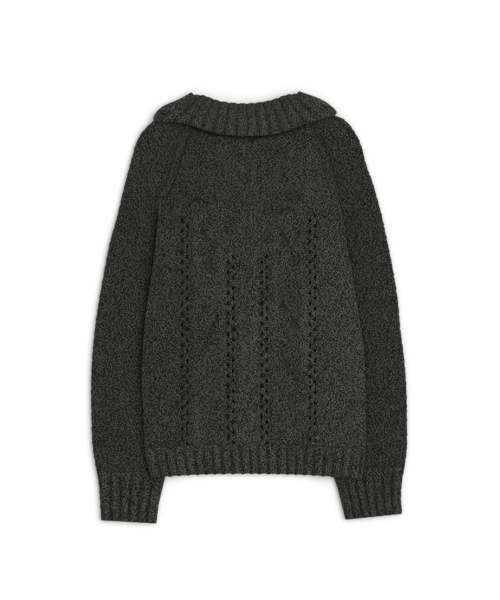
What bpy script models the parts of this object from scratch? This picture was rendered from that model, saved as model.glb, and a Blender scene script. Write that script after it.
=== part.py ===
"""A chunky wool zip-up cardigan, laid face down with its back up.

Metres, +Z up. The garment lies in the XY plane: +Y runs from the hem to the neck, -X is the
wearer's left. Every piece a knitter would make is one closed solid: back, two fronts, three hem
ribs, two raglan sleeves, two cuffs, the folded collar and the parts of the front zip.

The layers are, from the surface up: the sleeves and the front half of the collar, the two
fronts, the zip between the layers, the back, and the back half of the collar on top of it.
Sizes below are in millimetres. A piece is a flat grid of (column, row) cells that is cut and
closed up first, and then laid out by two functions, one for each face of its wall.
"""
import math

import bmesh
import bpy
from mathutils import Matrix, Vector

MM = 0.001

# Cloth
WALL = 3.0                 # thickness of one layer of the knit
HOLLOW = 3.0               # room between the front and the back layer
BODY_HEIGHT = WALL + HOLLOW + WALL
SEAM = 0.4                 # gap between two pieces at a seam
SIDE_ROUND = BODY_HEIGHT / 2 - SEAM / 2
SIDE_FADE = 25.0           # the body's side edge turns from flat to round over this length

# Heights of the pieces that lie under others
HIDDEN_SLEEVE = 7.2        # height of a sleeve where the body lies on it
OPEN_SLEEVE = 9.6          # height of a sleeve where it lies free
OVER_SLEEVE = 8.0          # the body's rise over a sleeve
OVER_COLLAR = 3.8          # the rise of fronts and sleeve caps over the collar's front half
SLEEVE_RAMP = 30.0
COLLAR_RAMP = 45.0
CLEAR_OF_BODY = 6.0        # a sleeve starts to rise this far outside the body's outline
EDGE_MARGIN = 14.0         # the rise is complete this far before the layer below begins
FREE_RAMP = 25.0           # a sleeve reaches its full height this far beside the body
TUBE_CLOSE = 20.0          # below the underarm a sleeve's inner edge closes over this length
SLEEVE_GAP = 2.6 * SEAM    # a slanting seam's gap, measured across the sleeve
EDGE_COLUMN = 3.0          # one column of a sleeve runs this far outside the body's edge

# Body
UNDERARM_Y = 202.0
DIVE = 41.0                # below the underarm the sleeve turns in under the body over this length
HEM_SEAM_Y = -254.0
HEM_HEIGHT = 55.0
HEM_DROP = 8.0             # the hem's corners hang this much lower than its middle
CORE_X = 83.0              # the panels inside this width run straight up to the neck
LACE_X = 129.0             # outer edge of the outermost eyelet columns

# Knitted relief
RIB_RAISE = 2.0
CABLE_RAISE = 2.8
STRAND = 7.5               # half width of a cable strand
LATTICE_PERIOD = 76.4
SPINE_PERIOD = 38.2
LEFT_PANEL = (-75.5, 62.0)  # middle and width of each cable panel
RIGHT_PANEL = (73.0, 66.0)
SPINE_PANEL = (-2.0, 42.0)
CABLE_TOP = 180.0          # the lattices fade out up to this height
CABLE_FADE = 60.0
ROW_PITCH = 9.55           # half the distance between two eyelets of one column
EYELET_HALF = (0.25, 0.31)  # half width and half height of an eyelet, in cells

# Collar
FOLD_RADIUS = 1.8
COLLAR_TURN = 6.6          # radius of the collar's outer layer where it turns round the shoulder
STAND_TURN = 3.0
COLLAR_BOW = 6.0           # the collar's ends at the shoulders bulge out by this much
SHOULDER_OUT = (0.6, 0.8)  # the way the shoulder turns face, in plan
NECK_GAP = 1.7 * SEAM

# Zip
CHAIN_HALF = 3.0
CHAIN_LOW, CHAIN_HIGH = 2.6, 4.4
TAPE_OUTER = 17.0
TAPE_LOW, TAPE_HIGH = WALL + 0.7, WALL + 1.4
SLIDER_Y = 264.0
CHAIN_TOP = 256.0
ZIP_TAPE_TOP = 272.0
PULL_LENGTH = 27.0
ZIP_BENDS = (172, 180, 188, 196, 202, 210, 218, 226)


class Table:
    """A short table with named columns. Its first column is the one that is looked up."""

    def __init__(self, names, *rows):
        self.names = names.split()
        self.rows = rows

    def at(self, name, key):
        """The straight-line value of the named column at a key."""
        index = self.names.index(name)
        row, part = self.find(key)
        here, there = self.rows[row][index], self.rows[row + 1][index]
        return here + (there - here) * part

    def smooth(self, name, key):
        """The same value on a soft curve through the rows."""
        index = self.names.index(name)
        row, part = self.find(key)
        last = len(self.rows) - 1
        slopes = []
        for middle in (row, row + 1):
            before, after = self.rows[max(middle - 1, 0)], self.rows[min(middle + 1, last)]
            slopes.append((after[index] - before[index]) / (after[0] - before[0]))
        width = self.rows[row + 1][0] - self.rows[row][0]
        here, there = self.rows[row][index], self.rows[row + 1][index]
        square, cube = part * part, part ** 3
        return (here * (2 * cube - 3 * square + 1) + there * (3 * square - 2 * cube)
                + width * slopes[0] * (cube - 2 * square + part)
                + width * slopes[1] * (cube - square))

    def find(self, key):
        """The row at or before a key, and how far the key is on the way to the next row."""
        row = 0
        while row < len(self.rows) - 2 and key > self.rows[row + 1][0]:
            row += 1
        start, end = self.rows[row][0], self.rows[row + 1][0]
        return row, min(max((key - start) / (end - start), 0.0), 1.0)


# Outline of the body: side edges up to the underarm, then the raglan seams up to the neck
BODY = Table("y left right",
             (-325, -176, 207), (-315, -178, 209), (-278, -188, 214), (-242, -193, 217),
             (-181, -195, 217), (-130, -198, 216), (-80, -196, 214), (-11, -190, 204),
             (56, -180, 193), (111, -173, 183), (157, -168, 176), (202, -164, 167),
             (224, -152, 160), (256, -142, 151), (287, -132, 142), (315, -122, 121),
             (328, -115, 115), (342, -108, 108))
NECK_CORNER = (108, 342)   # where the raglan seams meet the collar

# Neckline of the back, and of one front
BACK_NECK = Table("x y", (-108, 342), (-60, 336), (-5, 334), (52, 336), (108, 342))
FRONT_NECK_OF = {-1: Table("x y", (-108, 342), (-75, 296), (-7, 276)),
                 1: Table("x y", (7, 276), (75, 296), (108, 342))}

# Sleeves, a row for each cross-section: the outer edge and the inner edge, in plan
SLEEVE_LEFT = Table("station outer_x outer_y inner_x inner_y",
                    (0, -127, 371, -108, 342), (1, -156, 356, -115, 328),
                    (2, -184, 338, -122, 315), (3, -206, 309, -132, 287),
                    (4, -220, 262, -142, 256), (5, -228, 232, -154, 224),
                    (6, -234, 208, -164, 202), (7, -239, 186, -166, 182),
                    (8, -245, 162, -168, 162), (9, -252, 138, -145, 138),
                    (10, -258, 115, -122, 115), (11, -267, 69, -110, 69),
                    (12, -277, 13, -101, 13), (13, -285, -43, -101, -43),
                    (14, -290, -98, -108, -98), (15, -292, -154, -116, -154),
                    (16, -291, -209, -125, -209), (17, -289, -259, -138, -259),
                    (18, -282, -303, -152, -306))
SLEEVE_RIGHT = Table("station outer_x outer_y inner_x inner_y",
                     (0, 124, 371, 108, 342), (1, 151, 357, 115, 328),
                     (2, 179, 346, 122, 315), (3, 205, 310, 142, 287),
                     (4, 219, 262, 151, 256), (5, 230, 232, 161, 224),
                     (6, 237, 208, 167, 202), (7, 243, 186, 172, 182),
                     (8, 249, 162, 176, 162), (9, 254, 138, 155, 138),
                     (10, 259, 115, 132, 115), (11, 268, 69, 122, 69),
                     (12, 277, 13, 116, 13), (13, 282, -43, 116, -43),
                     (14, 289, -98, 120, -98), (15, 293, -154, 126, -154),
                     (16, 294, -209, 134, -209), (17, 294, -259, 142, -259),
                     (18, 290, -294, 152, -301))

# Cuffs: the same, from the seam down to the opening
CUFF_LEFT = Table("station outer_x outer_y inner_x inner_y",
                  (0, -282, -304, -152, -307), (1, -279, -318, -155, -321),
                  (2, -277, -334, -159, -337), (3, -275, -364, -166, -368),
                  (4, -273, -395, -170, -401))
CUFF_RIGHT = Table("station outer_x outer_y inner_x inner_y",
                   (0, 290, -295, 152, -302), (1, 286, -315, 160, -323),
                   (2, 284, -330, 165, -338), (3, 283, -355, 172, -366),
                   (4, 285, -383, 179, -394))

# The collar's back half from the left shoulder to the right one, in plan: the neck seam, the
# fold at the top and the free edge. The end rows are the outermost points of the shoulder turns.
COLLAR_BACK = Table("share neck_x neck_y fold_x fold_y edge_x edge_y",
                    (0, -127, 371, -106, 399, -177, 357),
                    (7 / 56, -108, 342, -82, 391, -121, 340),
                    (17 / 56, -60, 336, -50, 380, -64, 322),
                    (28 / 56, -5, 334, -5, 376, -6, 316),
                    (39 / 56, 52, 336, 36, 381, 53, 321),
                    (49 / 56, 108, 342, 70, 392, 106, 339),
                    (1, 124, 371, 94, 401, 165, 361))

# The free edge of the collar on the back, as a line to end the relief at
COLLAR_LINE = Table("x y", *[(row[5], row[6]) for row in COLLAR_BACK.rows])

# The collar's front halves, from the shoulder to the zip
COLLAR_FRONT_LEFT = Table("share neck_x neck_y fold_x fold_y edge_x edge_y",
                          (0.0, -127, 371, -106, 399, -177, 357),
                          (0.2, -108, 342, -82, 366, -152, 316),
                          (0.6, -75, 296, -52, 330, -106, 272),
                          (1.0, -8, 276, -8, 305, -42, 238))
COLLAR_FRONT_RIGHT = Table("share neck_x neck_y fold_x fold_y edge_x edge_y",
                           (0.0, 124, 371, 94, 401, 165, 361),
                           (0.2, 108, 342, 80, 368, 142, 316),
                           (0.6, 75, 296, 52, 330, 104, 272),
                           (1.0, 8, 276, 8, 305, 42, 238))

# Lower edge of the collar's front half, by its distance from the zip
COLLAR_REACH = Table("x left right",
                     (0, 234, 234), (42, 238, 238), (105, 267, 270), (147, 303, 313),
                     (165, 322, 332), (205, 368, 378))

# Columns of the back: two rounded ones at each side, an even share of each panel between
BACK_COLUMNS = Table("column x",
                     (0, -164), (2, -159.6), (5, -LACE_X), (7, -108.3), (13, -42.6), (15, -24),
                     (20, 20), (22, 38), (28, 108.3), (30, LACE_X), (33, 162.6), (35, 167))
BACK_ROWS = Table("row y", (0, HEM_SEAM_Y), (47, HEM_SEAM_Y + 47 * ROW_PITCH), (48, UNDERARM_Y))
TURN = 2                   # columns round a side edge
BACK_COLUMN_COUNT = 35
YOKE_ROW = 48
NECK_ROW = 54

# Eyelet columns: the left one of the two columns, the lowest and the highest open row
EYELETS = Table("column lowest highest", (5, 0, 43), (13, 0, 36), (20, 0, 36), (28, 1, 44))

# Columns and rows of a front, closest where it rises over the sleeve and the collar
FRONT_COLUMNS = Table("column x", (0, 7), (1, 17), (2, 45), (3, 75), (8, LACE_X), (12, 162.6),
                      (14, 167))
FRONT_COLUMN_COUNT = 14
FRONT_CORE_X = 75.0
FRONT_ROWS = Table("row y", (0, HEM_SEAM_Y), (8, 96), (17, UNDERARM_Y))
FRONT_YOKE_ROW = 17
FRONT_NECK_ROW = 25


def clamp(value):
    return min(max(value, 0.0), 1.0)


def soft(value):
    """An S-curve from 0 to 1."""
    value = clamp(value)
    return value * value * (3 - 2 * value)


def mix(start, end, part):
    return start + (end - start) * part


# ---------------------------------------------------------------------------------- the body

def body_edge(side, y):
    """Plan x of the body's edge, -1 for the left one and 1 for the right one."""
    return BODY.at("left" if side < 0 else "right", y)


def sleeve_table(side):
    return SLEEVE_LEFT if side < 0 else SLEEVE_RIGHT


def hidden_edge(side, y):
    """Plan x of the sleeve's inner edge under the body, at and below the place where it dives."""
    table = sleeve_table(side)
    under = [row for row in table.rows if row[4] <= UNDERARM_Y - DIVE + 1]
    by_height = Table("y x", *sorted((row[4], row[3]) for row in under))
    return by_height.at("x", min(y, UNDERARM_Y - DIVE))


def collar_rise(x, y):
    """How far the fronts and the sleeve caps are held up by the collar's front half."""
    edge = COLLAR_REACH.at("left" if x < 0 else "right", abs(x))
    return OVER_COLLAR * soft((y - edge + EDGE_MARGIN + COLLAR_RAMP) / COLLAR_RAMP)


def sleeve_rise(x, y):
    """How far the body is held up by the sleeve that runs under it."""
    if y >= UNDERARM_Y:
        return 0.0
    side = -1 if x < 0 else 1
    inside = side * (hidden_edge(side, y) - x) - EDGE_MARGIN
    across = soft(1 - inside / SLEEVE_RAMP)
    return OVER_SLEEVE * across * soft((UNDERARM_Y - y) / DIVE)


def body_floor(x, y):
    """Height of the underside of the fronts."""
    return collar_rise(x, y) + sleeve_rise(x, y)


def hem_bottom(x):
    return HEM_SEAM_Y - HEM_HEIGHT - HEM_DROP * (x / 200) ** 2


def hem_sag(x, y):
    """The rows of the body bend with the hem, less and less further up."""
    return -HEM_DROP * (x / 200) ** 2 * soft((100 - y) / 350)


def spread(base, y, start):
    """Plan x of a column: straight up to start, following the side edge outside it."""
    side = -1 if base < 0 else 1
    reach = abs(base)
    widest = abs(body_edge(side, UNDERARM_Y)) - SIDE_ROUND
    flat = abs(body_edge(side, y)) - SIDE_ROUND
    if reach > start:
        reach = mix(start, flat, min((reach - start) / (widest - start), 1.0))
    return side * reach


def yoke_point(base, part, core, neck):
    """A point between the underarm line (part 0) and the neckline (part 1), in plan."""
    x = spread(base, mix(UNDERARM_Y, NECK_CORNER[1], part), core)
    top_x = spread(base, NECK_CORNER[1], core)
    return x, mix(UNDERARM_Y, neck.at("y", top_x) - SEAM / 2, part)


def side_turn(side, turn, y, x, top):
    """One point of the rounded side edge, on the outer and on the inner face.

    turn goes from 0 on the flat to 1 at the seam. Above the underarm the edge stays flat.
    top is 1 for the back, which turns down, and -1 for a front, which turns up.
    """
    angle = turn * math.pi / 2
    rounded = soft((UNDERARM_Y - y) / SIDE_FADE)
    points = []
    for radius in (SIDE_ROUND, SIDE_ROUND - WALL):
        out = mix(turn * (SIDE_ROUND - SEAM / 2), radius * math.sin(angle), rounded)
        sink = mix(SIDE_ROUND - radius, SIDE_ROUND - radius * math.cos(angle), rounded)
        points.append((x + side * out, -top * sink))
    return points


def body_wall(x, y, turn, side, top, relief):
    """The outer and the inner point of the back (top 1) or of a front (top -1)."""
    ground = body_floor(x, y)
    face = ground + BODY_HEIGHT if top > 0 else ground
    points = side_turn(side, turn, y, x, top)
    (out_x, out_z), (in_x, in_z) = points
    return (out_x, y, face + out_z + relief), (in_x, y, face + in_z)


# ------------------------------------------------------------------------------ knitted relief

def ridge(distance):
    """A round strand: 1 on its middle line, 0 past its half width."""
    return max(0.0, 1 - (distance / STRAND) ** 2)


def lattice(x, y, panel):
    """Two straight strands at the panel's sides and two that swing between, drawing diamonds."""
    middle, width = panel
    swing = math.cos(2 * math.pi * y / LATTICE_PERIOD)
    reach = width / 2 - STRAND
    strands = (reach * swing, -reach * swing, reach, -reach)
    return max(ridge(x - middle - strand) for strand in strands)


def spine(x, y, panel):
    """Nested horseshoes up the middle of the back."""
    middle, width = panel
    phase = (y / SPINE_PERIOD) % 1.0
    reach = (width / 2 - STRAND) * math.sqrt(phase)
    return max(ridge(x - middle - reach), ridge(x - middle + reach))


def back_relief(x, y):
    """Height of the knitted relief on the back: two lattice panels and the spine between."""
    under_collar = soft((COLLAR_LINE.at("y", x) - 10 - y) / 15)
    above_hem = soft((y - HEM_SEAM_Y) / 12)
    lattice_end = soft((CABLE_TOP - y) / CABLE_FADE)
    raised = 0.0
    for panel in (LEFT_PANEL, RIGHT_PANEL):
        if abs(x - panel[0]) < panel[1] / 2:
            raised = lattice(x, y, panel) * lattice_end
    if abs(x - SPINE_PANEL[0]) < SPINE_PANEL[1] / 2:
        raised = spine(x, y, SPINE_PANEL)
    return CABLE_RAISE * raised * under_collar * above_hem


def rib(phase):
    """A two-by-two rib by its phase: up, along the top, down, along the bottom."""
    return clamp(4 * min(phase % 1.0, 0.75 - phase % 1.0))


# ------------------------------------------------------------------------------ the grid solid

def cloth(name, columns, rows, place, holes=(), closed=(), merge=None, plain=0.0):
    """One piece of cloth as a closed solid.

    place(column, row) gives the outer and the inner point of the wall. holes are cells to cut
    through. closed are rows whose two ends meet. merge names the block that a cell of the
    outer or inner face belongs to, where it is plain enough to make the block one face. plain
    is the angle in degrees up to which neighbouring faces are joined.
    """
    mesh = bmesh.new()
    bmesh.ops.create_grid(mesh, x_segments=columns, y_segments=rows, size=0.5)
    for vert in mesh.verts:
        vert.co.x = round((vert.co.x + 0.5) * columns)
        vert.co.y = round((vert.co.y + 0.5) * rows)
    cut_eyelets(mesh, holes)
    ends = {(round(v.co.x), round(v.co.y)): v for v in mesh.verts if v.co.x in (0, columns)}
    pairs = {ends[columns, row]: ends[0, row] for row in closed}
    if pairs:
        bmesh.ops.weld_verts(mesh, targetmap=pairs)
    column_of = mesh.verts.layers.float.new("column")
    row_of = mesh.verts.layers.float.new("row")
    for vert in mesh.verts:
        vert[column_of] = vert.co.x
        vert[row_of] = vert.co.y
    outer_faces = mesh.faces[:]
    grown = bmesh.ops.extrude_face_region(mesh, geom=outer_faces)["geom"]
    inner = {item for item in grown if isinstance(item, bmesh.types.BMVert)}
    inner_faces = [item for item in grown if isinstance(item, bmesh.types.BMFace)]
    inner_set = set(inner_faces)
    for vert in mesh.verts:
        outside, inside = place(vert[column_of], vert[row_of])
        vert.co = Vector(inside if vert in inner else outside) * MM
    if merge:
        blocks = {}
        for face in outer_faces + inner_faces:
            column = sum(v[column_of] for v in face.verts) / 4
            row = sum(v[row_of] for v in face.verts) / 4
            whole = abs(column % 1 - 0.5) < 0.01 and abs(row % 1 - 0.5) < 0.01
            block = merge(int(column), int(row), face in inner_set) if whole else None
            if block:
                blocks.setdefault((face in inner_set, block), []).append(face)
        for block in blocks.values():
            if len(block) > 1:
                bmesh.ops.dissolve_faces(mesh, faces=block, use_verts=True)
    if plain:
        bmesh.ops.dissolve_limit(mesh, angle_limit=math.radians(plain), verts=mesh.verts[:],
                                 edges=mesh.edges[:])
        bmesh.ops.connect_verts_concave(mesh, faces=mesh.faces[:])
    bmesh.ops.recalc_face_normals(mesh, faces=mesh.faces[:])
    return finish(name, mesh)


def cut_eyelets(mesh, holes):
    """Cut an upright slot through each of the named cells."""
    wanted = set(holes)
    cells = [face for face in mesh.faces
             if tuple(int(c) for c in face.calc_center_median()[:2]) in wanted]
    middles = [face.calc_center_median() for face in cells]
    if not cells:
        return
    bmesh.ops.inset_individual(mesh, faces=cells, thickness=0.2)
    for face, middle in zip(cells, middles):
        for vert in face.verts:
            vert.co.x = middle.x + math.copysign(EYELET_HALF[0], vert.co.x - middle.x)
            vert.co.y = middle.y + math.copysign(EYELET_HALF[1], vert.co.y - middle.y)
    bmesh.ops.delete(mesh, geom=cells, context="FACES")


def finish(name, mesh):
    """Turn a bmesh into an object of the cardigan's collection."""
    data = bpy.data.meshes.new(name)
    mesh.to_mesh(data)
    mesh.free()
    piece = bpy.data.objects.new(name, data)
    bpy.data.collections["zip_up_cardigan"].objects.link(piece)
    return piece


# ---------------------------------------------------------------------------- back and fronts

def back_place(column, row):
    base = BACK_COLUMNS.at("x", column)
    side = -1 if base < 0 else 1
    turn = max(0.0, (TURN - column) / TURN, (column - BACK_COLUMN_COUNT + TURN) / TURN)
    if row > YOKE_ROW:
        part = (row - YOKE_ROW) / (NECK_ROW - YOKE_ROW)
        x, y = yoke_point(base, part, CORE_X, BACK_NECK)
    else:
        y = BACK_ROWS.at("y", row)
        x = spread(base, y, LACE_X)
        y += hem_sag(x, y)
    return body_wall(x, y, turn, side, 1, back_relief(x, y) * (turn == 0))


def make_back():
    holes = []
    for left, lowest, highest in EYELETS.rows:
        for row in range(lowest, highest + 1):
            holes.append((left + (row + 1) % 2, row))
    lace = {row[0] + step: row[2] for row in EYELETS.rows for step in (0, 1)}
    panels = (7, 13, 15, 20, 22, 28)

    def merge(column, row, inside):
        if column < 5 or column >= 30:
            return column, row // 4 if row < YOKE_ROW - 4 else 100 + row // 2
        if not inside and row >= YOKE_ROW and not 15 <= column < 20:
            return column // 2, 100 + row
        if not inside or row >= YOKE_ROW - 4 or row <= lace.get(column, -1):
            return None
        panel = sum(column >= start for start in panels)
        return panel, column // 3, row // 4

    return cloth("back", BACK_COLUMN_COUNT, NECK_ROW, back_place, holes=holes, merge=merge)


def front_place(side):
    def place(column, row):
        base = FRONT_COLUMNS.at("x", column)
        turn = max(0.0, (column - FRONT_COLUMN_COUNT + TURN) / TURN)
        if row > FRONT_YOKE_ROW:
            part = (row - FRONT_YOKE_ROW) / (FRONT_NECK_ROW - FRONT_YOKE_ROW)
            x, y = yoke_point(side * base, part, FRONT_CORE_X, FRONT_NECK_OF[side])
        else:
            y = FRONT_ROWS.at("y", row)
            x = spread(side * base, y, FRONT_CORE_X)
            y += hem_sag(x, y)
        return body_wall(x, y, turn, side, -1, 0.0)
    return place


def make_front(name, side):
    return cloth(name, FRONT_COLUMN_COUNT, FRONT_NECK_ROW, front_place(side), plain=0.6)


# ---------------------------------------------------------------------------------- hem ribs

BACK_RIBS = 23
HEM_ROWS = 1


def back_hem_place(column, row):
    rib_columns = 4 * BACK_RIBS
    turn = max(0.0, (TURN - column) / TURN, (column - TURN - rib_columns) / TURN)
    share = clamp((column - TURN) / rib_columns)
    side = -1 if share < 0.5 else 1
    middle_y = HEM_SEAM_Y - HEM_HEIGHT * (1 - row / HEM_ROWS)
    left = body_edge(-1, middle_y) + SIDE_ROUND
    right = body_edge(1, middle_y) - SIDE_ROUND
    x = mix(left, right, share)
    y = hem_bottom(x) + (HEM_HEIGHT - SEAM) * row / HEM_ROWS
    relief = RIB_RAISE * rib((column - TURN) / 4) * (turn == 0)
    return body_wall(x, y, turn, side, 1, relief)


def make_back_hem():
    def merge(column, row, inside):
        if inside and TURN <= column < TURN + 4 * BACK_RIBS:
            return ((column - TURN) // 2,)
        return None

    return cloth("back_hem_rib", 4 * BACK_RIBS + 2 * TURN, HEM_ROWS, back_hem_place, merge=merge)


def front_hem_place(side):
    def place(column, row):
        base = FRONT_COLUMNS.at("x", column)
        turn = max(0.0, (column - FRONT_COLUMN_COUNT + TURN) / TURN)
        middle_y = HEM_SEAM_Y - HEM_HEIGHT * (1 - row / HEM_ROWS)
        x = spread(side * base, middle_y, FRONT_CORE_X)
        y = hem_bottom(x) + (HEM_HEIGHT - SEAM) * row / HEM_ROWS
        return body_wall(x, y, turn, side, -1, 0.0)
    return place


def make_front_hem(name, side):
    return cloth(name, FRONT_COLUMN_COUNT, HEM_ROWS, front_hem_place(side))


# ---------------------------------------------------------------------------- sleeves and cuffs

def outside_body(x, y):
    """Distance of a point from the body's outline, 0 under the body."""
    side = -1 if x < 0 else 1
    beside = side * (x - body_edge(side, y)) - CLEAR_OF_BODY
    below = hem_bottom(x) - CLEAR_OF_BODY - y
    return max(beside, below, 0.0)


def sleeve_height(x, y):
    """Height of a sleeve: level with the body at the seams, low under it, full beside it."""
    free = mix(HIDDEN_SLEEVE, OPEN_SLEEVE, soft(outside_body(x, y) / FREE_RAMP))
    return mix(BODY_HEIGHT, free, soft((UNDERARM_Y - y) / DIVE))


def tube_place(table, side, last, tops, unders, ribs):
    """The outer and inner points of a flattened tube, its columns running round it.

    Two columns round the inner edge, some over the top, four round the outer edge, some along
    the underside and two back up to the inner edge.
    """
    start_outer = 2 + tops
    start_under = start_outer + 4
    start_inner = start_under + unders

    def edges(row):
        key = row * (len(table.rows) - 1) / last
        outer = Vector((table.smooth("outer_x", key), table.smooth("outer_y", key)))
        inner = Vector((table.at("inner_x", key), table.at("inner_y", key)))
        along = (outer - inner).normalized()
        return outer, inner + along * SLEEVE_GAP, along

    def place(column, row):
        outer, inner, along = edges(row)
        closed = soft((UNDERARM_Y - inner.y) / TUBE_CLOSE)
        inner_round = sleeve_height(inner.x, inner.y) / 2
        outer_round = sleeve_height(outer.x, outer.y) / 2
        flat_in = inner + along * inner_round
        flat_out = outer - along * outer_round
        edge_x = body_edge(side, inner.y) + side * EDGE_COLUMN
        middle = max((edge_x - flat_in.x) * side / (flat_out - flat_in).length, 0.22)
        share = (column - 2) / tops if column <= start_outer else (start_inner - column) / unders
        share = clamp(share)
        if not ribs:
            share = 2 * middle * share if share < 0.5 else mix(middle, 1, 2 * share - 1)
        spot = flat_in.lerp(flat_out, share)
        ground = collar_rise(spot.x, spot.y)
        height = sleeve_height(spot.x, spot.y)
        upper = column < start_outer + 2
        if start_outer < column < start_under:
            turn = 1 - abs(column - start_outer - 2) / 2
            return turned(flat_out, along, outer_round, turn, upper, 1.0, ground)
        if column < 2 or column > start_inner:
            turn = (2 - column) / 2 if upper else (column - start_inner) / 2
            return turned(flat_in, -along, inner_round, turn, upper, closed, ground)
        relief = 0.0
        if ribs and upper:
            shown = soft(outside_body(spot.x, spot.y) / 10)
            relief = RIB_RAISE * rib((column - 2) / 4) * shown
        if upper:
            return (*spot, ground + height + relief), (*spot, ground + height - WALL)
        return (*spot, ground), (*spot, ground + WALL)
    return place


def turned(centre, outward, radius, turn, upper, closed, ground):
    """Outer and inner point of a tube's edge, turn 0 on the flat and 1 half way down.

    closed is 1 where the edge is round and 0 where the tube is open and its layers end flat.
    """
    points = []
    sign = 1 if upper else -1
    angle = turn * math.pi / 2
    for thickness in (0.0, WALL):
        reach = radius - thickness
        out = mix(turn * radius, reach * math.sin(angle), closed)
        up = sign * mix(reach, reach * math.cos(angle), closed)
        spot = centre + outward * out
        points.append((*spot, ground + radius + up))
    return points


SLEEVE_ROWS = 18
SLEEVE_TOPS = 6
LEVEL_ROW = 9              # from this row on a sleeve's underside is level
CUFF_ROWS = 4
CUFF_RIBS = {-1: 6, 1: 7}


def make_sleeve(name, side):
    table = sleeve_table(side)
    columns = 2 * SLEEVE_TOPS + 8
    closed = [row for row in range(SLEEVE_ROWS + 1)
              if table.at("inner_y", row) <= UNDERARM_Y - TUBE_CLOSE]
    place = tube_place(table, side, SLEEVE_ROWS, SLEEVE_TOPS, SLEEVE_TOPS, False)
    under = 6 + SLEEVE_TOPS

    def merge(column, row, inside):
        if row < LEVEL_ROW:
            return None
        if under <= column < under + SLEEVE_TOPS:
            return "under", (row - LEVEL_ROW) // 3
        if inside and 2 <= column < 2 + SLEEVE_TOPS:
            return "over", (row - LEVEL_ROW) // 3, (column - 2) // 3
        return None

    return cloth(name, columns, SLEEVE_ROWS, place, closed=closed, merge=merge)


def make_cuff(name, side):
    table = CUFF_LEFT if side < 0 else CUFF_RIGHT
    tops = 4 * CUFF_RIBS[side] - 1
    place = tube_place(table, side, CUFF_ROWS, tops, 3, True)

    def merge(column, row, inside):
        if tops + 6 <= column < tops + 9:
            return "under", 0
        if inside and 2 <= column < 2 + tops:
            return "over", (column - 2) // 4
        return None

    return cloth(name, tops + 11, CUFF_ROWS, place, closed=range(CUFF_ROWS + 1), merge=merge)


# ---------------------------------------------------------------------------------- the collar

COLLAR_RIBS = 14
FRONT_SPAN = 5             # columns of one front half
TURN_SPAN = 4              # columns round one shoulder
BACK_SPAN = 4 * COLLAR_RIBS
STAND_ROWS = 2
FOLD_ROWS = 3
FALL_ROWS = 2
COLLAR_COLUMNS = 2 * FRONT_SPAN + 2 * TURN_SPAN + BACK_SPAN
COLLAR_ROWS = STAND_ROWS + FOLD_ROWS + FALL_ROWS


def collar_column(column):
    """The table, the share along it, the side and the angle round the shoulder of a column.

    The columns run from the right end of the collar at the zip, round the right shoulder, over
    the back and round the left shoulder to the left end.
    """
    marks = (FRONT_SPAN, FRONT_SPAN + TURN_SPAN, FRONT_SPAN + TURN_SPAN + BACK_SPAN,
             FRONT_SPAN + 2 * TURN_SPAN + BACK_SPAN)
    if column <= marks[0]:
        return COLLAR_FRONT_RIGHT, 1 - column / FRONT_SPAN, 1, -90.0
    if column < marks[1]:
        return COLLAR_BACK, 1.0, 1, mix(-90, 90, (column - marks[0]) / TURN_SPAN)
    if column <= marks[2]:
        share = 1 - (column - marks[1]) / BACK_SPAN
        return COLLAR_BACK, share, (1 if share > 0.5 else -1), 90.0
    if column < marks[3]:
        return COLLAR_BACK, 0.0, -1, mix(90, -90, (column - marks[2]) / TURN_SPAN)
    return COLLAR_FRONT_LEFT, (column - marks[3]) / FRONT_SPAN, -1, -90.0


def shoulder_pull(table, share, radius):
    """How far a collar curve is drawn in from the outline at the shoulders, in plan."""
    near = share if table is not COLLAR_BACK else min(share, 1 - share)
    fade = clamp(1 - near * (8 if table is COLLAR_BACK else 5))
    return radius * fade


def collar_curve(name, column):
    """A point of the neck seam, the fold or the edge, in plan, on the turns' middle line."""
    table, share, side, _ = collar_column(column)
    look = table.at if name == "neck" else table.smooth
    spot = Vector((look(name + "_x", share), look(name + "_y", share)))
    radius = STAND_TURN + WALL / 2 if name == "neck" else COLLAR_TURN + WALL / 2
    outward = Vector((SHOULDER_OUT[0] * side, SHOULDER_OUT[1]))
    return spot - outward * shoulder_pull(table, share, radius)


def collar_middle(column, row):
    """A point half way through the collar's wall."""
    _, _, side, angle = collar_column(column)
    neck, fold, edge = (collar_curve(name, column) for name in ("neck", "fold", "edge"))
    up = (fold - neck).normalized()
    outward = Vector((SHOULDER_OUT[0] * side, SHOULDER_OUT[1]))
    aside = math.cos(math.radians(angle))
    stand_z = OVER_COLLAR + BODY_HEIGHT / 2
    fall_z = COLLAR_TURN + WALL / 2
    fold_line = fold - up * (FOLD_RADIUS + WALL / 2)
    turn = clamp((row - STAND_ROWS) / FOLD_ROWS) * math.pi
    if row <= STAND_ROWS:
        plan = (neck + up * NECK_GAP).lerp(fold_line, row / STAND_ROWS)
    elif row < STAND_ROWS + FOLD_ROWS:
        plan = fold_line + up * FOLD_RADIUS * math.sin(turn)
    else:
        down = (row - STAND_ROWS - FOLD_ROWS) / FALL_ROWS
        plan = fold_line.lerp(edge, down)
        plan += outward * COLLAR_BOW * math.sin(math.pi * down) * abs(aside)
    done = (1 - math.cos(turn)) / 2
    radius = mix(STAND_TURN, COLLAR_TURN, done)
    plan = plan + outward * radius * aside
    height = mix(stand_z, fall_z, done) + radius * math.sin(math.radians(angle))
    return Vector((plan.x, plan.y, height))


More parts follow.
